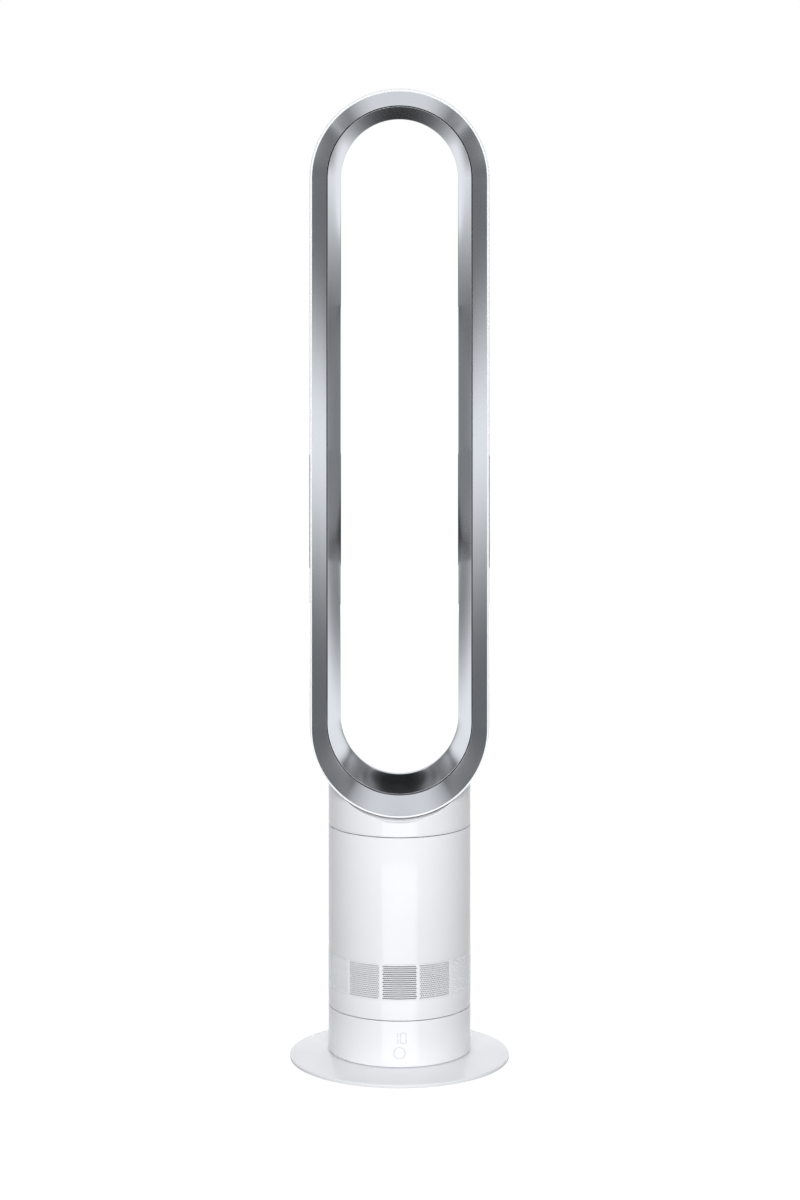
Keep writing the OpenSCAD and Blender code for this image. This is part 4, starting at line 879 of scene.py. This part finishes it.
# The greys run from 0 to 255. The front band is plain but for one light stretch on each straight
# side and one at each end. The inner band has two light stretches on each straight side and darkens
# towards both ends.
FRONT_BAND = Band(
    reach_mm=82.3, forward_mm=37.3, slope=14.5 / 34.94,
    side=lambda height: 104 + 120 * hump(height, 0.655, 0.262),
    top=lambda degrees: 103 + 100 * hump(np.minimum(degrees, 74), 74, 41),
    low=lambda degrees: 103 + 100 * hump(np.minimum(degrees, 74), 74, 41))
INNER_BAND = Band(
    reach_mm=67.4, forward_mm=-1.1, slope=12.9 / 41.8,
    side=lambda height: 121 + 97 * hump(height, 0.335, 0.148) + 98 * hump(height, 0.945, 0.19),
    top=lambda degrees: 221 - 155 * settling(degrees, 30),
    low=lambda degrees: 219 - 174 * settling(degrees, 30))


def gradient_card(name, card_y, half_width, low, high, marks):
    """A glowing card behind the loop. Each point's brightness is the mean of all marks, weighted by
    the sixth power of one over the distance, and softened close to a mark."""
    across, up = np.meshgrid(np.linspace(-half_width, half_width, 101), np.linspace(low, high, 101))
    marks = np.concatenate(marks)
    near = (np.abs(across)[..., None] - marks[:, 0]) ** 2 + (up[..., None] - marks[:, 1]) ** 2
    weight = 1 / (near + (CARD_SOFTNESS * card_y) ** 2) ** 3
    glow = np.sum(weight * marks[:, 2], -1) / np.sum(weight, -1)
    points = np.stack([across, np.full_like(across, card_y), up], -1).reshape(-1, 3)
    for_gloss_only(stage_grid(name, points, *across.shape, card_material(name + "_glow"),
                              glow.ravel()))


gradient_card("near_gradient_card", NEAR_CARD_Y, half_width=0.112, low=0.765, high=0.935,
              marks=INNER_BAND.marks(NEAR_CARD_Y, ["side", "top"]))
gradient_card("low_gradient_card", NEAR_CARD_Y, half_width=0.136, low=0.474, high=0.60,
              marks=INNER_BAND.marks(NEAR_CARD_Y, ["side", "low"]))
rim_marks = [np.column_stack([np.full_like(RIM_LINES_Z, x), RIM_LINES_Z, np.ones_like(RIM_LINES_Z)])
             for x in RIM_LINES_X]
gradient_card("far_gradient_card", FAR_CARD_Y, half_width=0.78, low=0.15, high=1.45,
              marks=[INNER_BAND.marks(FAR_CARD_Y, ["low"])[0][:FAR_LOW_MARKS]]
              + INNER_BAND.marks(FAR_CARD_Y, ["side"]) + rim_marks
              + FRONT_BAND.marks(FAR_CARD_Y, ["side", "top", "low"]))


def stripe_card():
    """A bright strip card on the floor in front. Its sides run straight away from the casing in the
    directions that a level ray takes after it meets the casing at the stripe's edge, so the casing
    shows one bright stripe of even width. Its far end fades to the floor's own white."""
    turn, reach = np.meshgrid(np.radians(np.linspace(STRIPE_EDGE, -STRIPE_EDGE, 9)),
                              np.linspace(STRIPE_NEAR, STRIPE_REACH, 38))
    glow = 1 + (STRIPE_GLOW - 1) * np.clip((STRIPE_REACH - reach) / STRIPE_FADE, 0, 1)
    points = np.stack([CASE_R * np.sin(turn) + reach * np.sin(2 * turn),
                       -CASE_R * np.cos(turn) - reach * np.cos(2 * turn),
                       np.full_like(turn, STRIPE_UP)], -1)
    for_gloss_only(stage_grid("stripe_card", points.reshape(-1, 3), *turn.shape,
                              card_material("stripe_card_glow"), glow.ravel()))


stripe_card()


def area_light(name, place, aim, width, height, radiance):
    """A white rectangular soft light: its power is its radiance times pi times its area."""
    data = bpy.data.lights.new(name, "AREA")
    data.shape = "RECTANGLE"
    data.size, data.size_y = width, height
    data.energy = radiance * width * height * math.pi
    lamp = bpy.data.objects.new(name, data)
    lamp.location = place
    lamp.rotation_mode = "QUATERNION"
    lamp.rotation_quaternion = (Vector(aim) - Vector(place)).to_track_quat("-Z", "Y")
    lamp.visible_camera = lamp.visible_glossy = False
    bpy.context.scene.collection.objects.link(lamp)


def world_light(ambient, glossy):
    """Even surroundings: white to the camera, ambient for soft light, glossy for reflections."""
    world = bpy.data.worlds.new("studio_white")
    bpy.context.scene.world = world
    world.use_nodes = True
    tree = world.node_tree
    tree.nodes.clear()
    path = add(tree, "ShaderNodeLightPath")
    shiny = add(tree, "ShaderNodeMapRange", inputs={
        "Value": path.outputs["Is Glossy Ray"], "To Min": ambient, "To Max": glossy})
    strength = add(tree, "ShaderNodeMix", {"data_type": "FLOAT"}, {
        "Factor": path.outputs["Is Camera Ray"], "A": shiny.outputs[0], "B": 1.0})
    back = add(tree, "ShaderNodeBackground", inputs={
        "Color": (1, 1, 1, 1), "Strength": strength.outputs[0]})
    add(tree, "ShaderNodeOutputWorld", inputs={"Surface": back.outputs[0]})


world_light(ambient=0.27, glossy=1.0)
area_light("high_front_softbox", place=(0, -3.35, 1.6), aim=(0, 0, 0.3), width=1.6, height=1.2,
           radiance=17.6)
area_light("high_back_softbox", place=(0, 2.4, 2.4), aim=(0, 0, 0.1), width=1.6, height=1.0,
           radiance=7.6)
area_light("low_back_softbox", place=(0, 3.2, 0.22), aim=(0, 0, 0.4), width=1.2, height=0.42,
           radiance=20.0)

# Camera
# Held level, so that upright lines stay parallel. The shift brings the object into the frame
SENSOR_MM, LENS_MM = 36, 94.37
SHIFT_X, SHIFT_Y = 0.0004, -0.3837
camera_data = bpy.data.cameras.new("camera")
camera_data.sensor_width = SENSOR_MM
camera_data.lens = LENS_MM
camera_data.shift_x, camera_data.shift_y = SHIFT_X, SHIFT_Y
camera = bpy.data.objects.new("camera", camera_data)
camera.location = CAMERA_PLACE
camera.rotation_euler = (math.pi / 2, 0, 0)
bpy.context.scene.collection.objects.link(camera)
bpy.context.scene.camera = camera
bpy.context.scene.view_settings.view_transform = "Standard"
